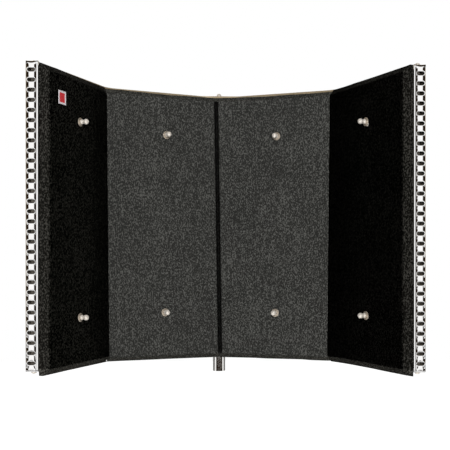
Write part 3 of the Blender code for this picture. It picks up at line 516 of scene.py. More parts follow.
@dataclass(frozen=True)
class WovenThread(Finish):
    """Ribbed woven thread of the tag."""

    name: str
    deep: Colour
    bright: Colour
    rib_scale: float = 7800.0
    fuzz_scale: float = 1500.0
    depth: float = 0.12 * MM

    def paint(self, tree: Tree) -> None:
        """Ribs of weft thread with a little fuzz.

        Args:
            tree: The material's tree.
        """
        place = tree.place()
        _, _, up = tree.parts(place)
        ribs = (up * self.rib_scale).wave() * 0.5 + 0.5
        fuzz = tree.noise(place, self.fuzz_scale, 3.0, 0.6)
        tree.surface({
            "Base Color": tree.mix((0.5 * ribs + 0.5 * fuzz).ramp(0.15, 0.7), self.deep, self.bright),
            "Roughness": 0.75,
            "Sheen Weight": 0.1,
            "Normal": tree.bump(ribs, self.depth, 0.7),
        })


# The centre cloth's bevel pair is painted darker than its face pair: painted shade on the bevels
CENTRE_FELT = WovenFelt(
    "centre_felt",
    ((0.0205, 0.0205, 0.0188), (0.0800, 0.0800, 0.0740)),
    ((0.0150, 0.0147, 0.0125), (0.0720, 0.0700, 0.0620)),
)
# The wing cloth is the centre cloth painted far darker, the right wing darker than the left: painted
# shade of faces turned from the light. Their bevel pairs are painted lighter than their faces: painted
# light
SHADED_WING_FELTS = {
    Side.LEFT: WovenFelt(
        "wing_felt_left",
        ((0.0004, 0.0004, 0.0003), (0.0180, 0.0175, 0.0148)),
        ((0.0060, 0.0056, 0.0047), (0.0430, 0.0410, 0.0360)),
    ),
    Side.RIGHT: WovenFelt(
        "wing_felt_right",
        ((0.0002, 0.0002, 0.0001), (0.0066, 0.0063, 0.0055)),
        ((0.0040, 0.0038, 0.0031), (0.0330, 0.0315, 0.0275)),
    ),
}
WOOL = AbsorberWool()
SHEET = BareMetal("sheet_metal", (0.50, 0.40, 0.26), (0.36, 0.28, 0.17), 0.4, metallic=0.5)
POLISHED = BareMetal("polished_sheet", (0.97, 0.96, 0.95), (0.92, 0.91, 0.89), 0.06)
SATIN = BareMetal("satin_nickel", (0.70, 0.61, 0.50), (0.58, 0.49, 0.39), 0.34, (1.0, 1.0, 1.0),
                  metallic=0.75)
DULL = BareMetal("dull_sheet_back", (0.14, 0.12, 0.095), (0.10, 0.085, 0.065), 0.6, metallic=0.1)
STEEL = BareMetal("plain_steel", (0.080, 0.070, 0.058), (0.055, 0.048, 0.038), 0.6, metallic=0.2)
NICKEL = BareMetal("bright_nickel", (0.96, 0.89, 0.80), (0.90, 0.82, 0.71), 0.30, (1.0, 1.0, 1.0),
                   metallic=0.5)
CHROME = BareMetal("bright_chrome", (0.90, 0.89, 0.87), (0.84, 0.82, 0.79), 0.07)
BLACK = PowderCoat()
PLASTIC = MouldedPlastic("black_moulding", (0.018, 0.018, 0.018), (0.045, 0.045, 0.045))
NYLON = MouldedPlastic("natural_nylon", (0.66, 0.64, 0.58), (0.55, 0.52, 0.45), 0.4)
BRASS = BareMetal("turned_brass", (0.72, 0.50, 0.20), (0.50, 0.33, 0.12), 0.25, (1.0, 0.05, 1.0))
RED_THREAD = WovenThread("red_thread", (0.42, 0.003, 0.008), (0.70, 0.016, 0.026))
PALE_THREAD = WovenThread("pale_thread", (0.55, 0.48, 0.50), (0.80, 0.74, 0.76))


# --------------------------------------------------------------------------------------------------
# Mesh helpers
# --------------------------------------------------------------------------------------------------


def publish(name: str, shape: bmesh.types.BMesh, finishes: Sequence[Finish], body: Body,
            nodes: Sequence[str] = (), sharp: float = SHARP) -> bpy.types.Object:
    """Turn a bmesh into a piece of the scene.

    Args:
        name: The piece's name.
        shape: Its mesh, in world metres. It is freed here.
        finishes: Its finishes, by the faces' material numbers.
        body: The body that it rides on.
        nodes: The CAD nodes that it stands for.
        sharp: Edges sharper than this stay sharp.

    Returns:
        The object.
    """
    bmesh.ops.recalc_face_normals(shape, faces=shape.faces[:])
    mesh = bpy.data.meshes.new(name)
    shape.to_mesh(mesh)
    shape.free()
    mesh.shade_smooth()
    mesh.set_sharp_from_angle(angle=sharp)
    for finish in finishes:
        mesh.materials.append(finish.material())
    piece = bpy.data.objects.new(name, mesh)
    bpy.context.scene.collection.objects.link(piece)
    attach(piece, body.value)
    if nodes:
        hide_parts(*nodes)
    LOG.info("%s: %d faces on %s", name, len(mesh.polygons), body.value)
    return piece


def unit(angle: float) -> Vector:
    """The plan direction from the middle outwards of a right-hand panel leaning by this angle."""
    return Vector((math.cos(angle), -math.sin(angle), 0.0))


def backward(angle: float) -> Vector:
    """The plan direction square to that panel, away from the microphone."""
    return Vector((math.sin(angle), math.cos(angle), 0.0))


def smooth(value: float) -> float:
    """A soft step from 0 to 1."""
    share = min(1.0, max(0.0, value))
    return share * share * (3 - 2 * share)


def meet(point: Vector, along: Vector, other: Vector, other_along: Vector) -> Vector:
    """Where two plan lines cross.

    Args:
        point: A point of the first line.
        along: Its direction.
        other: A point of the second line.
        other_along: Its direction.

    Returns:
        The crossing.
    """
    across = along.x * other_along.y - along.y * other_along.x
    gap = other - point
    step = (gap.x * other_along.y - gap.y * other_along.x) / across
    return point + step * along


def rounded(corners: Sequence[Vector], radii: Sequence[float], steps: int = 10) -> list[Vector]:
    """A plan path through corners, each inner corner rounded by its radius.

    Args:
        corners: The sharp corners.
        radii: A radius for each inner corner.
        steps: How many steps each bend has.

    Returns:
        The path's points.
    """
    path = [corners[0]]
    for before, corner, after, radius in zip(corners, corners[1:], corners[2:], radii):
        arrive = (corner - before).normalized()
        leave = (after - corner).normalized()
        turn = arrive.angle(leave)
        inward = (leave - arrive).normalized()
        centre = corner + inward * radius / math.cos(turn / 2)
        start = corner - radius * math.tan(turn / 2) * arrive - centre
        spin = 1 if arrive.cross(leave).z > 0 else -1
        for i in range(steps + 1):
            path.append(centre + Matrix.Rotation(spin * turn * i / steps, 3, "Z") @ start)
    path.append(corners[-1])
    return path


def round_grid(grid: list[list[bmesh.types.BMVert]]) -> list[bmesh.types.BMVert]:
    """The points round a grid's border, in order."""
    top = [line[-1] for line in reversed(grid[:-1])]
    return [line[0] for line in grid] + grid[-1][1:] + top + grid[0][-2:0:-1]


def lathe(shape: bmesh.types.BMesh, outline: Sequence[Plan], foot: Vector, axis: Vector,
          steps: int = 32, ring: bool = False) -> None:
    """Turn an outline about an axis.

    Args:
        shape: The mesh to add to.
        outline: Its (radius, height) points. Without ring, it starts and ends on the axis.
        foot: The place of height 0 on the axis, in the world.
        axis: The axis.
        steps: How many sides it has.
        ring: Whether the outline closes on itself round a hole.
    """
    basis = axis.to_track_quat("Z", "Y").to_matrix()
    loops = []
    for radius, height in outline:
        if radius < 1e-7:
            loops.append([shape.verts.new(foot + basis @ Vector((0, 0, height)))])
            continue
        turns = [2 * math.pi * i / steps for i in range(steps)]
        spots = [Vector((radius * math.cos(t), radius * math.sin(t), height)) for t in turns]
        loops.append([shape.verts.new(foot + basis @ spot) for spot in spots])
    pairs = list(zip(loops, loops[1:]))
    if ring:
        pairs.append((loops[-1], loops[0]))
    for one, two in pairs:
        for i in range(steps):
            j = (i + 1) % steps
            corners = [one[i % len(one)], one[j % len(one)], two[j % len(two)], two[i % len(two)]]
            shape.faces.new(dict.fromkeys(corners))


def dome(radius: float, height: float, start: float, end: float, steps: int) -> list[Plan]:
    """An arc of an outline about a centre on the axis.

    Args:
        radius: Its radius.
        height: The centre's height.
        start: Its first angle above the seat, in degrees.
        end: Its last angle.
        steps: How many steps it has.

    Returns:
        Its (radius, height) points.
    """
    angles = [math.radians(start + (end - start) * i / steps) for i in range(steps + 1)]
    return [(abs(radius * math.cos(a)) if abs(math.cos(a)) > 1e-6 else 0.0,
             height + radius * math.sin(a)) for a in angles]


# --------------------------------------------------------------------------------------------------
# Pads
# --------------------------------------------------------------------------------------------------


@dataclass(frozen=True)
class Studding:
    """Where a panel's two studs stand, and how far each head sits off its place on one side."""

    along: float
    heights: tuple[float, float]
    offsets: tuple[Plan, Plan] = ((0.0, 0.0), (0.0, 0.0))

    def on(self, offsets: tuple[Plan, Plan]) -> "Studding":
        """The same studs with one side's offsets."""
        return Studding(self.along, self.heights, offsets)

    @property
    def spots(self) -> list[Plan]:
        """The heads' places: along the panel and up."""
        return [(self.along + a * MM, height + b * MM)
                for height, (a, b) in zip(self.heights, self.offsets)]


@dataclass(frozen=True)
class Drift:
    """How far one end of a pad is off its line: at half height, and how much more at the top."""

    middle: float = 0.0
    splay: float = 0.0

    def at(self, level: float) -> float:
        """The drift at a level, 0 at the bottom and 1 at the top."""
        return self.middle + self.splay * (2 * level - 1)

    def scaled(self, factor: float) -> "Drift":
        """The same drift times a factor."""
        return Drift(self.middle * factor, self.splay * factor)


@dataclass
class Pad:
    """One felt-covered pad, as a height field over the plane of its face.

    The two hems give how far the top and the bottom edge stand off their straight lines, in
    millimetres, as pairs of the place along the pad and the height.
    """

    name: str
    side: Side
    finish: WovenFelt
    origin: Vector
    angle: float
    length: float
    span: tuple[float, float]
    depth: float
    bevel: float
    studs: Studding
    lean: tuple[float, float]
    thin: tuple[float, float]
    low_drift: Drift
    high_drift: Drift
    bow: Drift
    top_hem: Sequence[Plan]
    bottom_hem: Sequence[Plan]
    overlap: float = 0.03 * MM
    front_bevel: bool = False
    groove: bool = False
    step: float = 2.2 * MM
    rounding: float = 1.0 * MM
    dimple_radius: float = 4.6 * MM
    dimple_depth: float = 0.45 * MM
    fold_round: float = 0.35 * MM
    fold_reach: float = 1.2 * MM
    waviness: float = 0.10 * MM
    back_margin: float = 0.4 * MM
    thin_reach: float = 14 * MM
    # Painted shade: how much darker the groove and a wing's fold are painted; painted light: how much
    # lighter a wing's low bevel is painted; each with the distance that it fades over
    groove_painted_shade: tuple[float, float] = (0.85, 1.6 * MM)
    fold_painted_shade: tuple[float, float] = (0.5, 60 * MM)
    low_painted_light: tuple[float, float] = (1.3, 1.5 * MM)
    groove_line: tuple[Plan, ...] = (
        (0.0, 2.2), (0.5, 2.3), (0.9, 3.0), (1.3, 4.2), (1.7, 4.2), (2.1, 2.6), (2.5, 0.7),
        (3.0, 0.12), (3.8, 0.0),
    )

    @property
    def seed(self) -> float:
        """A number that sets the cloth's unevenness."""
        return 3.7 * self.side.value + 40 * self.length

    @staticmethod
    def read(line: Sequence[Plan], place: float) -> float:
        """Read a line of (place, value) points.

        Args:
            line: The points, in order.
            place: Where to read it.

        Returns:
            The value, held beyond the line's ends.
        """
        if place <= line[0][0]:
            return line[0][1]
        for (one, value), (two, other) in zip(line, line[1:]):
            if place <= two:
                return value + (other - value) * (place - one) / (two - one)
        return line[-1][1]

    def level(self, up: float) -> float:
        """A height's share of the pad's height."""
        return (up - self.span[0]) / (self.span[1] - self.span[0])

    def real(self, along: float, up: float) -> tuple[float, float]:
        """Where a point of the straight pad comes to lie on the drifted one.

        Args:
            along: Its place along the straight pad.
            up: Its height there.

        Returns:
            The place along the panel and the height.
        """
        share, level = along / self.length, self.level(up)
        low = self.low_drift.at(level) - self.overlap
        high = self.high_drift.at(level) + self.overlap * (not self.front_bevel)
        top, bottom = (self.read(hem, along / MM) * MM for hem in (self.top_hem, self.bottom_hem))
        return along + low * (1 - share) + high * share, up + top * level + bottom * (1 - level)

    def lines(self, low: float, high: float, near_low: Sequence[float],
              near_high: Sequence[float]) -> list[float]:
        """Grid lines across the pad, closer together at bevels, folds and the groove.

        Args:
            low: Where the pad starts.
            high: Where it ends.
            near_low: Distances of close lines from its start.
            near_high: Distances of close lines from its end.

        Returns:
            The places of the lines.
        """
        marks = {low, high} | {low + n for n in near_low} | {high - n for n in near_high}
        ordered = sorted(marks)
        full = [ordered[0]]
        for mark in ordered[1:]:
            begin = full[-1]
            parts = max(1, round((mark - begin) / self.step))
            full += [begin + (mark - begin) * i / parts for i in range(1, parts + 1)]
        return full

    def marks(self, bevelled: bool, grooved: bool = False) -> list[float]:
        """Where close lines stand from one edge.

        Args:
            bevelled: Whether the edge has a bevel.
            grooved: Whether it has half the groove.

        Returns:
            The distances in metres.
        """
        if grooved:
            return [place * MM for place, _ in self.groove_line[1:]]
        near = [0.4 * MM, 0.9 * MM, 1.6 * MM]
        if bevelled:
            near += [self.bevel + n * MM for n in (-1.6, -0.9, -0.4, 0.0, 0.4, 0.9, 1.6)]
        return near

    def bevel_at(self, along: float, up: float) -> float:
        """How deep the bevels are at a point of the face, rounded where they meet.

        Args:
            along: Its place along the panel.
            up: Its height.

        Returns:
            The depth in metres.
        """
        edges = [up - self.span[0], self.span[1] - up]
        if self.front_bevel:
            edges.append(self.length - along)
        value = 0.0
        for edge in edges:
            other = self.bevel - edge
            spread = max(self.rounding - abs(value - other), 0.0) / self.rounding
            value = max(value, other) + spread * spread * self.rounding / 4
        return value

    def groove_at(self, along: float, up: float) -> float:
        """How deep the groove is at a point of the face."""
        inside = min(up - self.span[0], self.span[1] - up) - self.bevel
        return self.read(self.groove_line, along / MM) * MM * smooth(inside / (1.5 * MM) + 0.4)

    def painted_light_at(self, along: float, up: float) -> float:
        """Painted shade and light on the cloth: painted shade in the groove and by a wing's fold,
        painted light on a wing's low bevel.

        Args:
            along: Its place along the panel.
            up: Its height.

        Returns:
            The factor that the cloth's colour is scaled by.
        """
        value = 1.0
        if self.groove:
            share, reach = self.groove_painted_shade
            value -= share * smooth(self.groove_at(along, up) / reach)
        if self.front_bevel:
            share, reach = self.fold_painted_shade
            value -= share * smooth(1.2 - along / reach)
            share, reach = self.low_painted_light
            value += share * smooth((self.span[0] + self.bevel - up) / reach)
        return value

    def bow_at(self, along: float, up: float) -> float:
        """How far the pad is bowed off its plane, from its low end to its studs."""
        share = max(0.0, 1 - along / self.studs.along)
        return self.bow.at(self.level(up)) * share * share

    def sink(self, along: float, up: float) -> float:
        """How far a point of the cloth lies behind the bowed face.

        Args:
            along: Its place along the panel.
            up: Its height.

        Returns:
            The depth in metres.
        """
        value = self.bevel_at(along, up)
        if self.groove:
            value = max(value, self.groove_at(along, up))
        elif self.front_bevel:
            value += self.fold_round * max(0.0, 1 - along / self.fold_reach)
        if not self.front_bevel:
            value += self.fold_round * max(0.0, 1 - (self.length - along) / self.fold_reach)
        place_along, place_up = self.real(along, up)
        for middle, height in self.studs.spots:
            reach = math.hypot(place_along - middle, place_up - height)
            if reach < 4 * self.dimple_radius:
                fall = max(0.0, reach - self.dimple_radius) / (3.0 * MM)
                value += self.dimple_depth * math.exp(-(fall ** 1.3))
        place = Vector((along, self.seed, up))
        return value + self.waviness * (noise.noise(place * 80) + 0.7 * noise.noise(place * 260))

    def build(self, body: Body) -> bpy.types.Object:
        """Build the pad: its face, its side walls and its back.

        Args:
            body: The body it rides on.

        Returns:
            The pad.
        """
        high = self.length
        way, back = unit(self.angle), backward(self.angle)
        columns = self.lines(0.0, high, self.marks(False, self.groove), self.marks(self.front_bevel))
        rows = self.lines(*self.span, self.marks(True), self.marks(True))
        shape = bmesh.new()
        edge_layer = shape.verts.layers.float.new("edge")
        painted_light_layer = shape.verts.layers.float.new("light")
        grid: list[list[bmesh.types.BMVert]] = []
        spots: dict[bmesh.types.BMVert, tuple[float, float]] = {}

        def place(along: float, up: float, deep: float) -> Vector:
            """The world place of a point of the pad.

            Args:
                along: Its place along the straight pad.
                up: Its height there.
                deep: How far it lies behind the bowed face.

            Returns:
                The world place.
            """
            share = along / high
            shift = (self.lean[0] * (1 - share) + self.lean[1] * share) * deep
            real_along, real_up = self.real(along, up)
            point = self.origin + (real_along + shift) * way + (deep + self.bow_at(along, up)) * back
            return self.side.place(point + Vector((0, 0, real_up)))

        for along in columns:
            line = []
            for up in rows:
                deep = self.sink(along, up)
                vert = shape.verts.new(place(along, up, min(deep, self.depth - self.back_margin)))
                vert[edge_layer] = smooth(self.bevel_at(along, up) / (0.25 * self.bevel))
                # Painted shade and light that scale the cloth's colour
                vert[painted_light_layer] = self.painted_light_at(along, up)
                spots[vert] = (along, up)
                line.append(vert)
            grid.append(line)
        for left, right in zip(grid, grid[1:]):
            for a, b, c, d in zip(left, right, right[1:], left[1:]):
                shape.faces.new((a, b, c, d))
        rim = round_grid(grid)
        behind = []
        for vert in rim:
            along, up = spots[vert]
            thin = (self.thin[0] * smooth(1 - along / self.thin_reach)
                    + self.thin[1] * smooth(1 - (high - along) / self.thin_reach))
            vert_back = shape.verts.new(place(along, up, self.depth - thin - self.bow_at(along, up)))
            vert_back[edge_layer] = vert_back[painted_light_layer] = 1.0
            behind.append(vert_back)
        count = len(rim)
        for i in range(count):
            j = (i + 1) % count
            shape.faces.new((rim[j], rim[i], behind[i], behind[j]))
        shape.faces.new(behind)
        bmesh.ops.triangulate(shape, faces=[f for f in shape.faces if len(f.verts) > 4])
        piece = publish(self.name + "_cloth", shape, (self.finish,), body, (self.name,),
                        math.radians(60))
        return piece


@dataclass
class PadSet:
    """The four pads. Their folds and crease stand a few millimetres to the left, as photographed."""

    panel: float = 128 * MM
    centre_angle: float = math.radians(14.4)
    wing_angle: float = math.radians(66.4)
    wing_depth: float = 8.5 * MM
    centre_depth: float = 6.5 * MM
    wing_bevel: float = 7.5 * MM
    centre_bevel: float = 5.5 * MM
    wing_span: tuple[float, float] = (0.0, 310 * MM)
    centre_span: tuple[float, float] = (2.3 * MM, 307.7 * MM)
    wing_studs: Studding = Studding(69.5 * MM, (55.5 * MM, 260 * MM))
    centre_studs: Studding = Studding(65.5 * MM, (57.2 * MM, 257.6 * MM))
    # How far the crease stands to the right, and each fold outwards, at half height and at the top
    crease_drift: Drift = Drift(-3.3 * MM, -2.4 * MM)
    fold_drifts: dict[Side, Drift] = field(default_factory=lambda: {
        Side.LEFT: Drift(3.6 * MM, 1.45 * MM),
        Side.RIGHT: Drift(-3.6 * MM, 1.55 * MM),
    })
    # How far each wing's front edge stands out, and how much thinner each pad is at its fold
    front_drifts: dict[Side, Drift] = field(default_factory=lambda: {
        Side.LEFT: Drift(-1.0 * MM),
        Side.RIGHT: Drift(1.2 * MM),
    })
    wing_thin: dict[Side, float] = field(default_factory=lambda: {
        Side.LEFT: 1.0 * MM,
        Side.RIGHT: 2.5 * MM,
    })
    centre_thin: dict[Side, float] = field(default_factory=lambda: {
        Side.LEFT: 2.0 * MM,
        Side.RIGHT: 0.0,
    })
    head_offsets: dict[str, tuple[Plan, Plan]] = field(default_factory=lambda: {
        "wing_left": ((0.0, 0.0), (0.0, 0.3)),
        "wing_right": ((-2.0, 1.1), (-2.0, 3.1)),
        "centre_left": ((0.9, -0.7), (-0.8, 1.0)),
        "centre_right": ((-1.9, -1.6), (-0.3, 0.3)),
    })
    hems: dict[str, tuple[Sequence[Plan], Sequence[Plan]]] = field(default_factory=lambda: {
        "wing_left": (
            ((0, -0.7), (15, -0.7), (37, -0.85), (60, -0.7), (83, -0.1), (105, 0.35), (128, 0.0)),
            ((0, 1.4), (15, 1.4), (37, 1.15), (83, 1.0), (105, 0.7), (128, 0.5), (131, 0.6),
             (135.5, 1.4)),
        ),
        "wing_right": (
            ((0, 0.1), (21, 0.1), (39, 0.65), (74, 0.95), (109, 1.5), (126, 1.7), (132, 2.0),
             (135.5, 1.0)),
            ((0, 0.5), (21, 0.45), (39, 0.2), (74, -0.3), (91, -0.7), (126, -1.2), (135.5, -1.1)),
        ),
        "centre_left": (
            ((0, -2.4), (57, -2.1), (82, -0.8), (104, 0.3), (128, 0.8)),
            ((0, 0.8), (20, 0.65), (57, 0.6), (70, 0.15), (104, -0.2), (128, -0.45)),
        ),
        "centre_right": (
            ((0, -2.4), (56, -2.6), (79, -1.5), (101, -1.2), (112, -0.6), (124, 0.0)),
            ((0, 0.6), (40, 0.5), (55, 0.05), (96, -0.1), (107, -0.75), (124, -1.0)),
        ),
    })

    @property
    def fold(self) -> Vector:
        """The corner between the right-hand panels' planes."""
        return self.panel * unit(self.centre_angle)

    def build(self) -> None:
        """Build the four pads."""
        turn = self.wing_angle - self.centre_angle
        for side in Side:
            fold, crease =self.fold_drifts[side], self.crease_drift.scaled(side.value)
            Pad(
                name="wing_pad_" + side.word,
                side=side,
                finish=SHADED_WING_FELTS[side],
                origin=self.fold,
                angle=self.wing_angle,
                length=self.panel + self.wing_bevel,
                span=self.wing_span,
                depth=self.wing_depth,
                bevel=self.wing_bevel,
                studs=self.wing_studs.on(self.head_offsets["wing_" + side.word]),
                lean=(-math.tan(turn / 2), 0.0),
                thin=(self.wing_thin[side], 0.0),
                low_drift=fold.scaled(math.cos(turn)),
                high_drift=self.front_drifts[side],
                bow=fold.scaled(math.sin(turn)),
                top_hem=self.hems["wing_" + side.word][0],
                bottom_hem=self.hems["wing_" + side.word][1],
                front_bevel=True,
            ).build(Body.FILTER)
            Pad(
                name="centre_pad_" + side.word,
                side=side,
                finish=CENTRE_FELT,
                origin=Vector((0, 0, 0)),
                angle=self.centre_angle,
                length=self.panel,
                span=self.centre_span,
                depth=self.centre_depth,
                bevel=self.centre_bevel,
                studs=self.centre_studs.on(self.head_offsets["centre_" + side.word]),
                lean=(-math.tan(self.centre_angle), math.tan(turn / 2)),
                thin=(0.0, self.centre_thin[side]),
                low_drift=crease.scaled(math.cos(self.centre_angle)),
                high_drift=fold,
                bow=crease.scaled(math.sin(self.centre_angle)),
                top_hem=self.hems["centre_" + side.word][0],
                bottom_hem=self.hems["centre_" + side.word][1],
                groove=True,
            ).build(Body.FILTER)


# --------------------------------------------------------------------------------------------------
# Layers behind the pads
# --------------------------------------------------------------------------------------------------


@dataclass
class Layers:
    """The bent layers' plan, shared by the blanket and the shell."""

    pads: PadSet
    crease_y: float = 23 * MM
    flat_half: float = 22 * MM
    slope: float = math.radians(23)
    behind_wing: float = 8.8 * MM
    crease_bend: float = 20 * MM
    fold_bend: float = 25 * MM

    def corners(self, behind: float, front_y: float) -> list[Vector]:
        """Sharp corners of the right half of a layer.

        Args:
            behind: The distance behind the barrier sheet's front face.
            front_y: Where the layer ends at the front.

        Returns:
            The corners from the middle outwards.
        """
        wing_way = unit(self.pads.wing_angle)
        centre = Vector((0, self.crease_y + behind, 0))
        slope = Vector((self.flat_half, self.crease_y, 0)) + behind * backward(self.slope)
        wing = self.pads.fold + (self.behind_wing + behind) * backward(self.pads.wing_angle)
        first = meet(centre, Vector((1, 0, 0)), slope, unit(self.slope))
        second = meet(slope, unit(self.slope), wing, wing_way)
        front = meet(wing, wing_way, Vector((0, front_y, 0)), Vector((1, 0, 0)))
        return [first, second, front]

    def path(self, behind: float, front_y: float, steps: int = 10) -> list[Vector]:
        """The whole layer in plan, from left to right.

        Args:
            behind: The distance behind the barrier sheet's front face.
            front_y: Where the layer ends at the front.
            steps: How many steps each bend has.

        Returns:
            The path's points.
        """
        half = self.corners(behind, front_y)
        whole = [Vector((-p.x, p.y, 0)) for p in reversed(half)] + half
        fold, crease = self.fold_bend + behind, self.crease_bend + behind
        return rounded(whole, (fold, crease, crease, fold), steps)


@dataclass
class Blanket:
    """The wool absorber behind the barrier sheet, with loose edges."""

    layers: Layers
    near: float = 1.3 * MM
    depth: float = 9.4 * MM
    bottom: float = 6 * MM
    top: float = 309 * MM
    front_y: float = -141.5 * MM
    rows: int = 74
    columns: int = 150
    crown: float = 1.6 * MM
    around: int = 4
    face_fuzz: float = 0.12 * MM
    edge_fuzz: float = 0.3 * MM

    def build(self) -> None:
        """Build the blanket with a puffed, uneven top and bottom edge."""
        front = self.resample(self.layers.path(self.near, self.front_y))
        back = self.resample(self.layers.path(self.near + self.depth, self.front_y))
        shape = bmesh.new()
        heights = [self.bottom + (self.top - self.bottom) * i / self.rows for i in range(self.rows + 1)]
        rings: list[list[bmesh.types.BMVert]] = []
        for near, far in zip(front, back):
            ring = [self.fibre(shape, near, z, self.face_fuzz) for z in heights]
            ring += self.edge(shape, near, far, self.top, 1)
            ring += [self.fibre(shape, far, z, self.face_fuzz) for z in reversed(heights)]
            ring += self.edge(shape, far, near, self.bottom, -1)
            rings.append(ring)
        for one, two in zip(rings, rings[1:]):
            count = len(one)
            for i in range(count):
                j = (i + 1) % count
                shape.faces.new((one[i], two[i], two[j], one[j]))
        for ring in (rings[0], rings[-1]):
            shape.faces.new(ring)
        bmesh.ops.triangulate(shape, faces=[f for f in shape.faces if len(f.verts) > 4])
        piece = publish("wool_blanket_fleece", shape, (WOOL,), Body.FILTER,
                        ("wool_blanket",), math.radians(70))

    def edge(self, shape: bmesh.types.BMesh, start: Vector, end: Vector, z: float,
             way: int) -> list[bmesh.types.BMVert]:
        """The puffed edge's points between the blanket's two faces.

        Args:
            shape: The mesh.
            start: Its first place in plan.
            end: Its last place in plan.
            z: The blanket's height there.
            way: 1 at the top, -1 at the bottom.

        Returns:
            The vertices.
        """
        verts = []
        for i in range(1, self.around):
            share = i / self.around
            lift = way * self.crown * math.sin(math.pi * share)
            verts.append(self.fibre(shape, start.lerp(end, share), z + lift, self.edge_fuzz))
        return verts

    @staticmethod
    def fibre(shape: bmesh.types.BMesh, place: Vector, z: float, rough: float) -> bmesh.types.BMVert:
        """One point of the fleece, pushed about a little.

        Args:
            shape: The mesh.
            place: Its place in plan.
            z: Its height.
            rough: How far it may be pushed.

        Returns:
            The vertex.
        """
        seed = Vector((place.x, place.y, z)) * 130
        push = Vector([noise.noise(seed + Vector((9 * i, 5 * i, 0))) for i in range(3)])
        return shape.verts.new(DATUM + Vector((place.x, place.y, z)) + push * rough)

    def resample(self, path: Sequence[Vector]) -> list[Vector]:
        """Points evenly spread along a path.

        Args:
            path: The path.

        Returns:
            The points, one more than there are columns.
        """
        lengths = [0.0]
        for a, b in zip(path, path[1:]):
            lengths.append(lengths[-1] + (b - a).length)
        points = []
        for i in range(self.columns + 1):
            goal = lengths[-1] * i / self.columns
            place = min(bisect_right(lengths, goal), len(path) - 1) - 1
            share = (goal - lengths[place]) / max(1e-9, lengths[place + 1] - lengths[place])
            points.append(path[place].lerp(path[place + 1], min(1.0, share)))
        return points


# --------------------------------------------------------------------------------------------------
# Outer shell
# --------------------------------------------------------------------------------------------------


@dataclass(frozen=True)
class Slot:
    """A round-ended slot."""

    length: float = 7.5 * MM
    height: float = 3.5 * MM

    def distance(self, across: float, up: float) -> float:
        """How far a point lies outside the slot's outline."""
        straight = (self.length - self.height) / 2
        return math.hypot(max(0.0, abs(across) - straight), up) - self.height / 2

    def ring(self, offset: float, steps: int) -> list[Plan]:
        """The slot's outline at a distance.

        Args:
            offset: The distance from the slot.
            steps: How many steps each round end has.

        Returns:
            The outline's points, in order.
        """
        straight = (self.length - self.height) / 2
        radius = self.height / 2 + offset
        points = []
        for sign, start in ((1, -90), (-1, 90)):
            for i in range(steps + 1):
                turn = math.radians(start + 180 * i / steps)
                points.append((sign * straight + radius * math.cos(turn), radius * math.sin(turn)))
        return points


@dataclass
class Cell:
    """One slotted cell of the sheet, cut into triangles once and used again for every slot."""

    slot: Slot
    across: Sequence[float]
    half: float
    rows: int
    rings: Sequence[float]
    steps: int

    def cut(self) -> tuple[list[Plan], list[tuple[int, ...]]]:
        """Cut the cell into triangles round its slot.

        Returns:
            The points, about the slot's middle, and the triangles.
        """
        points: list[Vector] = []
        edges: list[tuple[int, int]] = []

        def chain(places: Iterable[Plan], closed: bool = False) -> None:
            """Add a line that the triangles keep to.

            Args:
                places: Its points.
                closed: Whether it ends where it starts.
            """
            start = len(points)
            points.extend(Vector(place) for place in places)
            edges.extend((i, i + 1) for i in range(start, len(points) - 1))
            if closed:
                edges.append((len(points) - 1, start))

        for x in self.across[1:-1]:
            chain([(x, -self.half), (x, self.half)])
        heights = [self.half * (2 * i / self.rows - 1) for i in range(self.rows + 1)]
        low, high = self.across[0], self.across[-1]
        border = [(low, z) for z in heights] + [(x, self.half) for x in self.across[1:]]
        border += [(high, z) for z in reversed(heights[:-1])]
        border += [(x, -self.half) for x in reversed(self.across[1:-1])]
        chain(border, True)
        for offset in self.rings:
            chain(self.slot.ring(offset, self.steps), True)
        verts, _, faces, *_ = geometry.delaunay_2d_cdt(points, edges, [], 0, 1e-7)
        hole = self.slot.ring(0.0, self.steps)
        kept = []
        for face in faces:
            x = sum(verts[i].x for i in face) / len(face)
            z = sum(verts[i].y for i in face) / len(face)
            if not self.inside(hole, x, z):
                kept.append(tuple(face))
        return [(v.x, v.y) for v in verts], kept

    @staticmethod
    def inside(outline: Sequence[Plan], x: float, z: float) -> bool:
        """Whether a point is inside an outline that bulges everywhere.

        Args:
            outline: The outline's points, in order.
            x: The point's place across.
            z: Its height.

        Returns:
            True inside.
        """
        following = list(outline[1:]) + [outline[0]]
        return all((bx - ax) * (z - ay) - (by - ay) * (x - ax) > 0
                   for (ax, ay), (bx, by) in zip(outline, following))


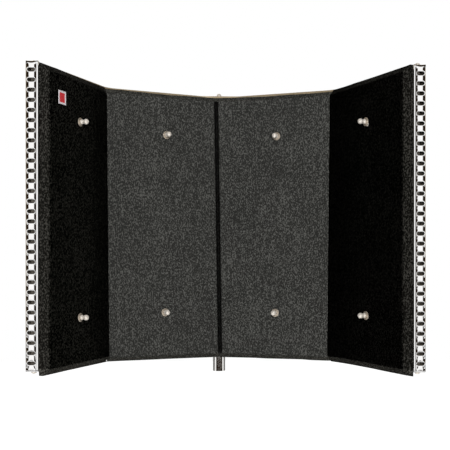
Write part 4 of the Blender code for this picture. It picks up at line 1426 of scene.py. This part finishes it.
class Plate:
    """A sheet of metal with two faces, laid out flat by its length and height."""

    def __init__(self, shape: bmesh.types.BMesh, outer: Callable[[float, float], Vector],
                 inner: Callable[[float, float], Vector]) -> None:
        """Start an empty sheet.

        Args:
            shape: The mesh to add to.
            outer: The world place of the outer face, by length and height.
            inner: The same for the inner face.
        """
        self.shape = shape
        self.faces_of = (outer, inner)
        self.verts: tuple[dict, dict] = ({}, {})

    def vert(self, layer: int, length: float, height: float) -> bmesh.types.BMVert:
        """The vertex at a place of one face, made on first use.

        Args:
            layer: 0 on the outer face, 1 on the inner one.
            length: Its length along the sheet.
            height: Its height.

        Returns:
            The vertex.
        """
        key = (round(length * 1e6), round(height * 1e6))
        found = self.verts[layer].get(key)
        if found is None:
            found = self.shape.verts.new(self.faces_of[layer](length, height))
            self.verts[layer][key] = found
        return found

    def add(self, spots: Sequence[Plan]) -> None:
        """Add a face on both sides of the sheet, the inner one in the second finish.

        Args:
            spots: Its corners by length and height.
        """
        for layer in (0, 1):
            corners = [self.vert(layer, *spot) for spot in spots]
            if len(set(corners)) > 2:
                face = self.shape.faces.new(corners if layer == 0 else corners[::-1])
                face.material_index = layer

    def plain(self, lengths: Sequence[float], heights: Sequence[float]) -> None:
        """Add a part without slots.

        Args:
            lengths: Its lines across.
            heights: Its lines up.
        """
        for a, b in zip(lengths, lengths[1:]):
            for c, d in zip(heights, heights[1:]):
                self.add(((a, c), (b, c), (b, d), (a, d)))

    def stamp(self, cell: tuple[list[Plan], list[tuple[int, ...]]], length: float,
              height: float) -> None:
        """Add a cut cell about a slot's middle.

        Args:
            cell: The cell's points and triangles.
            length: The slot's place along the sheet.
            height: Its height.
        """
        points, faces = cell
        for face in faces:
            self.add([(length + points[i][0], height + points[i][1]) for i in face])

    def close(self) -> None:
        """Close every open edge between the two faces."""
        twins = {vert: self.verts[1][key] for key, vert in self.verts[0].items()}
        edges = {edge for vert in twins for edge in vert.link_edges}
        for edge in edges:
            one, two = edge.verts
            if len(edge.link_faces) == 1 and one in twins and two in twins:
                self.shape.faces.new((one, two, twins[two], twins[one]))


@dataclass
class Shell:
    """The perforated outer shell with its two polished front strips.

    The strips carry one column of slots, each with a flat rim. A bright lip stands beside the
    pads behind a shallow valley, and both ends are bent back into a tab.
    """

    layers: Layers
    near: float = 11.0 * MM
    depth: float = 1.2 * MM
    bottom: float = 4 * MM
    top: float = 311.5 * MM
    strip_y: float = -154 * MM
    lip_x: float = 186.1 * MM
    lip_end_y: float = -149.8 * MM
    outer_bend: float = 3.9 * MM
    lip_bend: float = 0.3 * MM
    corner_out: float = 0.6 * MM
    right_out: float = 1.0 * MM
    # How much higher than straight each strip's lower end stands
    low_ends: dict[Side, float] = field(default_factory=lambda: {
        Side.LEFT: 1.4 * MM, Side.RIGHT: -1.2 * MM,
    })
    slot: Slot = Slot()
    slot_x: float = 193.0 * MM
    slot_count: int = 30
    pitch: float = 10 * MM
    column: float = 12 * MM
    plain_front: float = 30 * MM
    steps: int = 8
    rim: float = 0.8 * MM
    rim_fall: float = 0.3 * MM
    rim_lift: float = 0.012 * MM
    tab: float = 9 * MM
    end_bend: tuple[float, float] = (1.35 * MM, 1.35 * MM)
    end_swell: tuple[float, float] = (0.2 * MM, 1.3 * MM)
    # How flat the lower and the upper end's middle is pressed, and how far from the middle
    end_press: tuple[float, float] = (0.35, 0.85)
    press_start: float = 4.9 * MM
    press_fall: float = 1.3 * MM
    swell_reach: float = 5 * MM
    dip: float = 0.16 * MM
    dip_reach: float = 0.25 * MM
    flat_limit: float = 198.8 * MM
    side_reach: float = 90 * MM
    nut_clear: tuple[float, float] = (8.8 * MM, 6.8 * MM)
    nut_steps: int = 600
    inner_lip_bend: float = 0.1 * MM
    # The strip's cross-section between its two bends: place across and depth behind the front
    section: tuple[Plan, ...] = (
        (188.0, 0.0), (188.15, 0.06), (188.8, 0.5), (189.9, 0.07), (190.1, 0.0),
        (190.7, -0.01), (191.8, -0.03), (192.9, -0.03), (194.0, -0.02),
    )
    outer: list[Vector] = field(init=False, default_factory=list)
    inner: list[Vector] = field(init=False, default_factory=list)
    lengths: list[float] = field(init=False, default_factory=list)

    def __post_init__(self) -> None:
        """Lay out the two faces' plans, from the middle to the right-hand lip's end."""
        self.outer = self.half_path(self.near + self.depth, self.strip_y, self.lip_x,
                                    self.outer_bend, self.lip_bend, True)
        self.inner = self.half_path(self.near, self.strip_y + self.depth, self.lip_x + self.depth,
                                    self.outer_bend - self.depth, self.inner_lip_bend, False)
        self.lengths = [0.0]
        middles = [a.lerp(b, 0.5) for a, b in zip(self.outer, self.inner)]
        for a, b in zip(middles, middles[1:]):
            self.lengths.append(self.lengths[-1] + (b - a).length)

    def half_path(self, behind: float, strip_y: float, lip_x: float, bend: float, lip_bend: float,
                  shaped: bool) -> list[Vector]:
        """One face's plan.

        Args:
            behind: How far it lies behind the barrier sheet's front face.
            strip_y: The strip's face.
            lip_x: The lip's face.
            bend: The radius at the strip's outer corner.
            lip_bend: The radius at the lip.
            shaped: Whether the strip has its valley and crown.

        Returns:
            The points from the middle outwards, and round to the lip's end.
        """
        first, second, front = self.layers.corners(behind, strip_y)
        front = front + Vector((self.corner_out, 0, 0))
        corners = [Vector((0, first.y, 0)), first, second, front, Vector((lip_x, strip_y, 0)),
                   Vector((lip_x, self.lip_end_y, 0))]
        crease, fold = self.layers.crease_bend + behind, self.layers.fold_bend + behind
        path = rounded(corners, (crease, fold, bend, lip_bend), self.steps)
        flat = [Vector((x * MM, strip_y + (deep * MM if shaped else 0.0), 0))
                for x, deep in reversed(self.section)]
        at = 1 + 3 * (self.steps + 1)
        return path[:at] + flat + path[at:]

    def at(self, length: float, layer: int) -> Vector:
        """A plan point by its length along the right half.

        Args:
            length: The length.
            layer: 0 on the outer face, 1 on the inner one.

        Returns:
            The point.
        """
        place = min(max(bisect_right(self.lengths, length), 1), len(self.lengths) - 1) - 1
        span = self.lengths[place + 1] - self.lengths[place]
        share = min(1.0, max(0.0, (length - self.lengths[place]) / span))
        path = (self.outer, self.inner)[layer]
        return path[place].lerp(path[place + 1], share)

    def spot(self, side: Side, length: float, point: Vector) -> Vector:
        """The world place of a point of the right half, set right for the side's own strip.

        Args:
            side: Its side.
            length: Its length along the right half.
            point: Its place.

        Returns:
            The world place.
        """
        share = smooth(1 + (length - self.seam) / self.side_reach)
        out = self.right_out * share if side is Side.RIGHT else 0.0
        rise = self.low_ends[side] * share * (self.top - point.z) / (self.top - self.bottom)
        return side.place(point + Vector((out, 0, rise)))

    @property
    def seam(self) -> float:
        """The length where the wall ends and the strip begins, just behind the outer bend."""
        return self.lengths[2 * (self.steps + 1) + 1] - 1.5 * MM

    @property
    def slot_length(self) -> float:
        """The length at the strip's slots.

        Returns:
            The length along the right half.
        """
        for one, two, length in zip(self.outer, self.outer[1:], self.lengths):
            if one.y < self.strip_y + 0.1 * MM and two.x <= self.slot_x <= one.x:
                return length + (one.x - self.slot_x)
        raise ValueError("the strip has no place for its slots")

    def heights(self, stagger: bool = False) -> list[float]:
        """The heights of a column's slots.

        Args:
            stagger: Whether the column is one of those that stand half a pitch off.

        Returns:
            The heights from the bottom up.
        """
        middle = (self.bottom + self.top) / 2
        count = self.slot_count - stagger
        return [middle + (i - (count - 1) / 2) * self.pitch for i in range(count)]

    def build(self) -> None:
        """Build the wall and the two strips as one piece."""
        shape = bmesh.new()
        self.wall(shape)
        for side in Side:
            self.strip(shape, side)
        publish("perforated_shell_sheet", shape, (POLISHED, DULL), Body.FILTER,
                ("perforated_shell",), math.radians(50))

    def wall(self, shape: bmesh.types.BMesh) -> None:
        """Add the wall with its staggered slots, solid near the strips and where the cap nuts sit.

        Args:
            shape: The mesh to add to.
        """

        def face(layer: int) -> Callable[[float, float], Vector]:
            """The places of one face.

            Args:
                layer: 0 for the outer face, 1 for the inner one.

            Returns:
                A function that gives a point's world place.
            """

            def place(length: float, height: float) -> Vector:
                """The world place of a point of the wall.

                Args:
                    length: Its length from the middle, to the right.
                    height: Its height.

                Returns:
                    The world place.
                """
                point = self.at(abs(length), layer) + Vector((0, 0, height))
                return self.spot(Side.RIGHT if length >= 0 else Side.LEFT, abs(length), point)
            return place

        plate = Plate(shape, face(0), face(1))
        count = 2 * round(self.seam / self.column) + 1
        width = 2 * self.seam / count
        across = [width * share for share in (-0.5, -1 / 6, 1 / 6, 0.5)]
        cell = Cell(self.slot, across, self.pitch / 2, 4, (0.0,), 4).cut()
        nuts = self.nut_spots()
        quarter = self.pitch / 4
        beside, above = self.nut_clear
        for number in range(count):
            middle = -self.seam + width * (number + 0.5)
            lines = [middle + a for a in across]
            stagger = number % 2 == 1
            places = self.heights(stagger)
            low, high = places[0] - self.pitch / 2, places[-1] + self.pitch / 2
            extra = range(3 if stagger else 1)
            plate.plain(lines, sorted({self.bottom, *(low - i * quarter for i in extra)}))
            plate.plain(lines, sorted({self.top, *(high + i * quarter for i in extra)}))
            for height in places:
                spare = any(abs(abs(middle) - s) < beside and abs(height - z) < above
                            for s, z in nuts)
                if spare or abs(middle) > self.seam - self.plain_front:
                    plate.plain(lines, [height + quarter * i for i in (-2, -1, 0, 1, 2)])
                else:
                    plate.stamp(cell, middle, height)
        plate.close()

    def nut_spots(self) -> list[Plan]:
        """Where the cap nuts sit on the wall.

        Returns:
            Their lengths along the right half and heights.
        """
        pads = self.layers.pads
        spots = []
        for studs, origin, angle in ((pads.wing_studs, pads.fold, pads.wing_angle),
                                     (pads.centre_studs, Vector((0, 0, 0)), pads.centre_angle)):
            foot = origin + studs.along * unit(angle)
            steps = [self.seam * i / self.nut_steps for i in range(self.nut_steps)]
            nearest = min(steps, key=lambda s: abs((self.at(s, 0) - foot).dot(unit(angle))))
            spots += [(nearest, z) for z in studs.heights]
        return spots

    def strip(self, shape: bmesh.types.BMesh, side: Side) -> None:
        """Add one polished strip.

        Args:
            shape: The mesh to add to.
            side: The strip's side.
        """
        plate = Plate(shape, lambda s, z: self.strip_place(side, s, z, 0),
                      lambda s, z: self.strip_place(side, s, z, 1))
        inside = [s for s in self.lengths if s > self.seam + 0.2 * MM]
        lines = [self.seam, *inside]
        middle = self.slot_length
        edge = len(lines) - next(i for i, s in enumerate(reversed(lines))
                                 if self.at(s, 0).x > self.section[0][0] * MM - 1e-6)
        slotted, lip = lines[:edge], lines[edge - 1:]
        rings = (0.0, 0.2 * MM, self.rim, self.rim + 0.35 * self.rim_fall,
                 self.rim + 0.7 * self.rim_fall, self.rim + self.rim_fall)
        rows = 4
        cell = Cell(self.slot, [s - middle for s in slotted], self.pitch / 2, rows, rings, 7).cut()
        heights = self.heights()
        for height in heights:
            plate.stamp(cell, middle, height)
            plate.plain(lip, [height + self.pitch * (i / rows - 0.5) for i in range(rows + 1)])
        flat = [s for s in lines if self.at(s, 0).y < self.strip_y + 0.6 * MM]
        for end, way in ((heights[0] - self.pitch / 2, -1), (heights[-1] + self.pitch / 2, 1)):
            bend = [end + way * i * MM / 4 for i in range(4)]
            bend += [end + way * (1 + i / 8) * MM for i in range(9)]
            plate.plain(lines, sorted(bend))
            tab = [end + way * (2 + i / 3) * MM for i in range(4)]
            plate.plain(flat, sorted(tab))
        plate.close()

    def strip_place(self, side: Side, length: float, height: float, layer: int) -> Vector:
        """A point of the strip.

        Beyond the outermost cells, height counts stages of one millimetre each: the last straight
        part, the bend and the tab.

        Args:
            side: The strip's side.
            length: Its length along the sheet.
            height: Its height along the sheet.
            layer: 0 on the outer face, 1 on the inner one.

        Returns:
            The world place.
        """
        heights = self.heights()
        low, high = heights[0] - self.pitch / 2, heights[-1] + self.pitch / 2
        way = 1 if height > high else -1 if height < low else 0
        stage = (height - high if way > 0 else low - height) / MM if way else 0.0
        index = 1 if way > 0 else 0
        base = self.at(length, layer)
        off = length - self.slot_length
        if layer == 0:
            nearest = min(heights, key=lambda z: abs(z - height))
            away = self.slot.distance(off, height - nearest) if not way else 1.0
            weight = 1 - smooth((away - self.rim) / self.rim_fall)
            weight = max(weight, self.end_press[index] * smooth(stage))
            weight *= 1 - smooth((abs(off) - self.press_start) / self.press_fall)
            lift = self.rim_lift * (0.0 if way else 1.0)
            dip = self.dip * max(0.0, 1 - away / self.dip_reach) if away < self.dip_reach else 0.0
            flat = Vector((min(self.slot_x - off, self.flat_limit), self.strip_y - lift + dip, 0))
            base = base.lerp(flat, weight)
        if not way:
            return self.spot(side, length, base + Vector((0, 0, height)))
        ahead = max(0.0, min(1.0, self.facing(length)))
        edge = self.top if way > 0 else self.bottom
        mid_share = max(0.0, 1 - (off / self.swell_reach) ** 2)
        radius = self.end_bend[index] + self.end_swell[index] * mid_share
        start = edge - way * radius
        first = high if way > 0 else low
        if stage <= 1:
            return self.spot(side, length, base + Vector((0, 0, first + (start - first) * stage)))
        turn = min(1.0, stage - 1) * math.pi / 2
        bend = radius - (self.depth if layer else 0.0)
        rise = bend * (math.sin(turn) * ahead + (1 - ahead) * turn / (math.pi / 2))
        if layer:
            rise += self.depth * (1 - ahead) * turn / (math.pi / 2)
        back = bend * (1 - math.cos(turn)) * ahead + max(0.0, stage - 2) * self.tab
        return self.spot(side, length, base + Vector((0, back, start + way * rise)))

    def facing(self, length: float) -> float:
        """How squarely the strip faces the microphone.

        Args:
            length: The length along the right half.

        Returns:
            1 where it faces the microphone, 0 where it runs away from it.
        """
        step = 0.05 * MM
        along = self.at(length + step, 0) - self.at(length - step, 0)
        return abs(along.x) / max(1e-9, along.length) if along.x < 0 else 0.0


# --------------------------------------------------------------------------------------------------
# Tag
# --------------------------------------------------------------------------------------------------


@dataclass
class Tag:
    """A bare red woven tag with a pale border on the left wing's face."""

    pads: PadSet
    width: float = 13.5 * MM
    thick: float = 0.5 * MM
    from_front: float = 22.0 * MM
    height: float = 279.6 * MM
    lift: float = 0.28 * MM
    border: float = 2.0 * MM
    steps: int = 28
    curl: float = 0.10 * MM
    curl_reach: float = 2 * MM
    hem: float = 0.12 * MM
    hem_slope: float = 0.6 * MM
    wave: float = 0.05 * MM
    wave_scale: float = 160.0

    def build(self) -> None:
        """Build the tag as a thin cloth with slightly lifted edges and a raised border."""
        angle = self.pads.wing_angle
        middle = self.pads.fold + (self.pads.panel - self.from_front) * unit(angle)
        middle = middle - self.lift * backward(angle) + Vector((0, 0, self.height))
        shape = bmesh.new()
        grids = []
        half = self.width / 2
        marks = [-half + self.width * i / self.steps for i in range(self.steps + 1)]
        for layer in (0.0, self.thick):
            grid = []
            for u in marks:
                line = []
                for v in marks:
                    edge = half - max(abs(u), abs(v))
                    curl = self.curl * (1 - smooth(edge / self.curl_reach))
                    hem = self.hem * smooth((self.border - edge) / self.hem_slope) if layer else 0.0
                    seed = Vector((u * self.wave_scale, v * self.wave_scale, 3.0))
                    wave = self.wave * noise.noise(seed)
                    out = layer + curl + hem + wave
                    point = middle + u * unit(angle) - out * backward(angle) + Vector((0, 0, v))
                    line.append(shape.verts.new(Side.LEFT.place(point)))
                grid.append(line)
            grids.append(grid)
        for grid in grids:
            for i, (left, right) in enumerate(zip(grid, grid[1:])):
                for j, corners in enumerate(zip(left, right, right[1:], left[1:])):
                    face = shape.faces.new(corners)
                    u = abs((marks[i] + marks[i + 1]) / 2)
                    v = abs((marks[j] + marks[j + 1]) / 2)
                    face.material_index = int(half - max(u, v) < self.border)
        low, high = (round_grid(grid) for grid in grids)
        for i in range(len(low)):
            j = (i + 1) % len(low)
            shape.faces.new((low[i], low[j], high[j], high[i])).material_index = 1
        piece = publish("woven_tag_cloth", shape, (RED_THREAD, PALE_THREAD), Body.FILTER,
                        ("woven_tag",))


# --------------------------------------------------------------------------------------------------
# Turned fasteners
# --------------------------------------------------------------------------------------------------


@dataclass
class Fasteners:
    """The round bright fasteners that the front shows: studs, washers and dome screws."""

    pads: PadSet
    washer_radius: float = 4.6 * MM
    washer_low: float = 0.3 * MM
    washer_high: float = 1.1 * MM
    hole: float = 2.3 * MM
    dome_radius: float = 3.0 * MM
    reach: float = 10.2 * MM
    neck: float = 2.1 * MM
    collar: float = 2.6 * MM
    rod: float = 2.0 * MM
    centre_tilt: float = math.radians(8.6)
    centre_rod: float = 36.7 * MM
    wing_rod: float = 24.5 * MM
    screw_x: float = 190.9 * MM
    right_out: float = 1.0 * MM
    screw_y: float = -148.5 * MM
    screw_seats: dict[Side, tuple[float, float]] = field(default_factory=lambda: {
        Side.LEFT: (5.1 * MM, 310.5 * MM), Side.RIGHT: (2.5 * MM, 311.8 * MM),
    })

    def build(self) -> None:
        """Build every fastener."""
        pads = self.pads
        panels = (
            ("centre", Vector((0, 0, 0)), pads.centre_angle, pads.centre_studs, self.centre_rod),
            ("wing", pads.fold, pads.wing_angle, pads.wing_studs, self.wing_rod),
        )
        for side in Side:
            for panel, origin, angle, studs, rod in panels:
                seated = studs.on(pads.head_offsets[f"{panel}_{side.word}"])
                turn = self.centre_tilt if panel == "centre" else 0.0
                spots = zip(("low", "high"), studs.heights, seated.spots)
                for level, height, (along, up) in spots:
                    foot = origin + studs.along * unit(angle) + Vector((0, 0, height))
                    head = origin + along * unit(angle) + Vector((0, 0, up))
                    self.stud(
                        f"{panel}_{side.word}_{level}",
                        (side.place(foot), -side.turned(backward(angle))),
                        (side.place(head), -side.turned(backward(angle + turn))),
                        rod,
                    )
            for level, z, way in zip(("bottom", "top"), self.screw_seats[side], (-1, 1)):
                out = self.right_out if side is Side.RIGHT else 0.0
                place = side.place(Vector((self.screw_x + out, self.screw_y, z)))
                self.edge_screw(f"edge_screw_{side.word}_{level}", place, Vector((0, 0, way)))
        self.post_screw()

    def stud(self, name: str, foot: tuple[Vector, Vector], head: tuple[Vector, Vector],
             rod: float) -> None:
        """Build a dome stud and its cupped washer.

        Args:
            name: The stud's place words.
            foot: Where its rod leaves the pad's face, and the way towards the microphone.
            head: The same for its head and washer, which sit a little off and tilted.
            rod: How far its rod reaches back.
        """
        seat = self.washer_high + 0.25 * MM
        centre = self.reach - self.dome_radius
        outline = dome(self.dome_radius, centre, 90, -20, 14)
        outline += [(self.neck + 0.35 * MM, centre - 1.75 * MM), (self.neck, centre - 2.1 * MM),
                    (self.neck, seat + 2.5 * MM), (self.neck + 0.25 * MM, seat + 2.15 * MM),
                    (self.collar - 0.15 * MM, seat + 1.95 * MM), (self.collar, seat + 1.7 * MM),
                    (self.collar, seat + 0.15 * MM), (self.collar - 0.15 * MM, seat), (0.0, seat)]
        shape = bmesh.new()
        lathe(shape, outline, *head)
        wide = self.rod
        lathe(shape, [(0.0, 0.0), (wide, 0.0), (wide, -rod), (0.0, -rod)], *foot)
        place, axis = head
        publish("bright_stud_" + name, shape, (NICKEL,), Body.FILTER,
                ("dome_stud_" + name,), math.radians(50))
        wide, low, high = self.washer_radius, self.washer_low, self.washer_high
        outline = [(self.hole, low), (self.hole, high), (self.hole + 0.9 * MM, high + 0.05 * MM),
                   (wide - 1.1 * MM, high - 0.05 * MM), (wide - 0.5 * MM, high + 0.10 * MM),
                   (wide - 0.15 * MM, high - 0.05 * MM), (wide, low + 0.45 * MM), (wide, low)]
        shape = bmesh.new()
        lathe(shape, outline, place, axis, 40, True)
        publish("bright_washer_" + name, shape, (SATIN,), Body.FILTER,
                ("face_washer_" + name,), math.radians(50))

    @staticmethod
    def edge_screw(name: str, place: Vector, axis: Vector) -> None:
        """Build a small dome-headed screw.

        Args:
            name: The node's name.
            place: Its seat.
            axis: The way its head points.
        """
        wide, head, shank, length = 2.75 * MM, 2.0 * MM, 1.5 * MM, 9 * MM
        heads = [(0.0, 1.0), (0.25, 0.98), (0.45, 0.92), (0.65, 0.8), (0.82, 0.62), (0.94, 0.4),
                 (1.0, 0.2), (1.0, 0.0)]
        outline = [(wide * a, head * b) for a, b in heads]
        outline += [(shank, 0.0), (shank, -length), (0.0, -length)]
        shape = bmesh.new()
        lathe(shape, outline, place, axis)
        publish("bright_" + name, shape, (NICKEL,), Body.FILTER, (name,))

    @staticmethod
    def post_screw() -> None:
        """Build the small dome on the post's top."""
        tip, radius, foot = 319.6 * MM, 2.8 * MM, 312.6 * MM
        seat, shank, end, post_y = 2.38 * MM, 1.68 * MM, 293.2 * MM, 55 * MM
        outline = dome(radius, tip - radius, 90, 0, 10)
        outline += [(radius, foot + 1.0 * MM), (seat, foot), (shank, foot), (shank, end), (0.0, end)]
        shape = bmesh.new()
        lathe(shape, outline, DATUM + Vector((0, post_y, 0)), Vector((0, 0, 1)))
        publish("bright_post_dome", shape, (NICKEL,), Body.FILTER, ("post_dome_screw",))


# --------------------------------------------------------------------------------------------------
# Hard parts that keep their CAD shape
# --------------------------------------------------------------------------------------------------


@dataclass
class Hardware:
    """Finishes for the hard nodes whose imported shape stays."""

    finishes: dict[str, Finish] = field(default_factory=lambda: {
        "barrier_sheet": SHEET,
        "cap_nut": NICKEL,
        "tie_bar": STEEL,
        "air_gap_spacer": NYLON,
        "bracket_rivet": NICKEL,
        "post_tube": CHROME,
        "post_plug": BLACK,
        "top_bracket": BLACK,
        "low_bracket": BLACK,
        "post_bush": NYLON,
        "clamp_body": BLACK,
        "clamp_knob": PLASTIC,
        "clamp_screw": CHROME,
        "pressure_pad": BRASS,
        "stand_socket": BLACK,
        "tilt_bolt": CHROME,
        "tilt_knob": PLASTIC,
    })

    def dress(self) -> None:
        """Give every node that still shows its finish."""
        for name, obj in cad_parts.items():
            if obj.hide_render:
                continue
            for start, finish in self.finishes.items():
                if name.startswith(start):
                    for slot in obj.material_slots:
                        slot.material = finish.material()
                    LOG.info("%s: dressed as %s", name, finish.name)
                    break


# --------------------------------------------------------------------------------------------------
# Studio
# --------------------------------------------------------------------------------------------------


@dataclass
class Studio:
    """Floor, light and camera."""

    image: int = 450
    focal_pixels: float = 903.0
    principal_y: float = 264.3
    sensor: float = 36.0
    eye: tuple[float, float, float] = (-43.2 * MM, -1048.2 * MM, 111.2 * MM)
    yaw: float = math.radians(2.62)
    floor_z: float = -1.0
    floor_half: float = 9.0
    floor_front: float = -3.0
    soft_level: float = 0.26
    # What polished metal mirrors, by how far it looks away from the microphone's side
    mirrored: tuple[tuple[float, Colour], ...] = (
        (0.0, (1.0, 1.0, 1.0)),
        (0.045, (1.0, 1.0, 1.0)),
        (0.070, (0.016, 0.009, 0.004)),
        (0.690, (0.016, 0.009, 0.004)),
        (0.765, (0.30, 0.24, 0.165)),
        (0.90, (0.34, 0.28, 0.20)),
        (1.0, (0.62, 0.58, 0.51)),
    )
    # The tube's end mirrors a dark card before white ones, all below what the strips mirror
    card_front: float = -945 * MM
    card_side: float = 1150 * MM
    card_back: float = 100 * MM
    card_top: tuple[float, float] = (-97 * MM, -84 * MM)
    card_bottom: float = -210 * MM
    card_levels: tuple[Colour, Colour] = ((0.022, 0.014, 0.008), (1.0, 1.0, 1.0))

    def build(self) -> None:
        """Set the stage."""
        scene = bpy.context.scene
        scene.view_settings.view_transform = "Standard"
        self.camera(scene)
        self.world(scene)
        self.floor()
        self.lamps()
        self.cards()

    def cards(self) -> None:
        """Set up the cards that only mirroring surfaces see."""
        front, side, back = self.card_front, self.card_side, self.card_back
        corners = [(-side, back), (-side, front), (side, front), (side, back)]
        dark, white = self.card_levels
        middle_top, side_top = self.card_top
        cards = ((side_top, white), (middle_top, dark), (side_top, white))
        for number, (one, two, (top, level)) in enumerate(zip(corners, corners[1:], cards)):
            material = bpy.data.materials.new(f"card_{number}")
            Tree(material).surface({
                "Base Color": (0.0, 0.0, 0.0, 1.0),
                "Specular IOR Level": 0.0,
                "Emission Color": (*level, 1.0),
                "Emission Strength": 1.0,
            })
            places = ((*one, top), (*two, top), (*two, self.card_bottom), (*one, self.card_bottom))
            spots = [DATUM + Vector(place) for place in places]
            card = self.flat_face(f"card_{number}", spots, material)
            card.visible_camera = card.visible_diffuse = card.visible_shadow = False
            card.visible_transmission = False

    @staticmethod
    def flat_face(name: str, spots: Sequence[Sequence[float]],
                  material: bpy.types.Material) -> bpy.types.Object:
        """Add an object with one flat face.

        Args:
            name: Its name.
            spots: Its corners in the world.
            material: Its material.

        Returns:
            The object.
        """
        shape = bmesh.new()
        shape.faces.new([shape.verts.new(spot) for spot in spots])
        mesh = bpy.data.meshes.new(name)
        shape.to_mesh(mesh)
        shape.free()
        mesh.materials.append(material)
        made = bpy.data.objects.new(name, mesh)
        bpy.context.scene.collection.objects.link(made)
        return made

    def camera(self, scene: bpy.types.Scene) -> None:
        """Set the camera where the photograph was taken.

        Args:
            scene: The scene.
        """
        data = bpy.data.cameras.new("camera")
        data.sensor_width = self.sensor
        data.lens = self.focal_pixels * self.sensor / self.image
        data.shift_y = (self.principal_y - self.image / 2) / self.image
        data.clip_start = 0.01
        data.clip_end = 100
        camera = bpy.data.objects.new("camera", data)
        camera.location = DATUM + Vector(self.eye)
        camera.rotation_euler = (math.pi / 2, 0.0, -self.yaw)
        scene.collection.objects.link(camera)
        scene.camera = camera

    def world(self, scene: bpy.types.Scene) -> None:
        """A white room for the eye, a white front with dark sides for gloss, and soft dim light.

        Args:
            scene: The scene.
        """
        world = bpy.data.worlds.new("studio")
        scene.world = world
        tree = Tree(world)
        rays = tree.add("LightPath")
        seen = Socket(tree, rays.outputs["Is Camera Ray"])
        gloss = Socket(tree, rays.outputs["Is Glossy Ray"])
        _, along, _ = tree.parts(tree.node("TexCoord", output="Generated"))
        away = along * 0.5 + 0.5
        mirrored = tree.node("ValToRGB", {"stops": self.mirrored}, {0: away})
        soft = tree.mix(gloss, (self.soft_level,) * 3, mirrored)
        colour = tree.mix(seen, soft, (1.0, 1.0, 1.0))
        shader = tree.node("Background", inputs={"Color": colour, "Strength": 1.0})
        tree.add("OutputWorld", inputs={"Surface": shader})

    def floor(self) -> None:
        """A plain pale floor, a stand's height below the filter."""
        half, front, z = self.floor_half, self.floor_front, self.floor_z
        corners = [(-half, front, z), (half, front, z), (half, half, z), (-half, half, z)]
        material = bpy.data.materials.new("pale_floor")
        tree = Tree(material)
        rays = tree.add("LightPath")
        seen = Socket(tree, rays.outputs["Is Camera Ray"])
        speck = tree.noise(tree.place(), 40.0, 2.0, 0.5)
        tree.surface({
            "Base Color": tree.mix(speck, (0.90, 0.90, 0.90), (0.93, 0.93, 0.93)),
            "Roughness": 0.8,
            "Specular IOR Level": 0.1,
            "Emission Color": tree.mix(seen, (0.0, 0.0, 0.0), (0.85, 0.85, 0.85)),
            "Emission Strength": 1.0,
        })
        floor = self.flat_face("floor", corners, material)

    def lamps(self) -> None:
        """A broad front light straight ahead, and a weak top light."""
        self.lamp("front_light", (0.0, -2.7, 0.62), (0.0, -0.15, 0.13), 0.9, 62.0)
        self.lamp("top_light", (0.0, -0.6, 2.4), (0.0, -0.12, 0.13), 1.2, 7.0)

    @staticmethod
    def lamp(name: str, place: tuple[float, float, float], goal: tuple[float, float, float],
             size: float, power: float) -> None:
        """Add a square area light.

        Args:
            name: Its name.
            place: Where it stands.
            goal: What it points at.
            size: Its side.
            power: Its power in watts.
        """
        data = bpy.data.lights.new(name, "AREA")
        data.size = size
        data.energy = power
        lamp = bpy.data.objects.new(name, data)
        lamp.visible_glossy = False
        lamp.location = place
        way = Vector(goal) - Vector(place)
        lamp.rotation_euler = way.to_track_quat("-Z", "Y").to_euler()
        bpy.context.scene.collection.objects.link(lamp)


def main() -> None:
    """Build the classes in order and report each piece."""
    logging.basicConfig(level=logging.INFO, format="%(message)s")
    Studio().build()
    pads = PadSet()
    pads.build()
    layers = Layers(pads)
    Blanket(layers).build()
    Shell(layers).build()
    Tag(pads).build()
    Fasteners(pads).build()
    Hardware().dress()


if __name__ == "__main__":
    main()
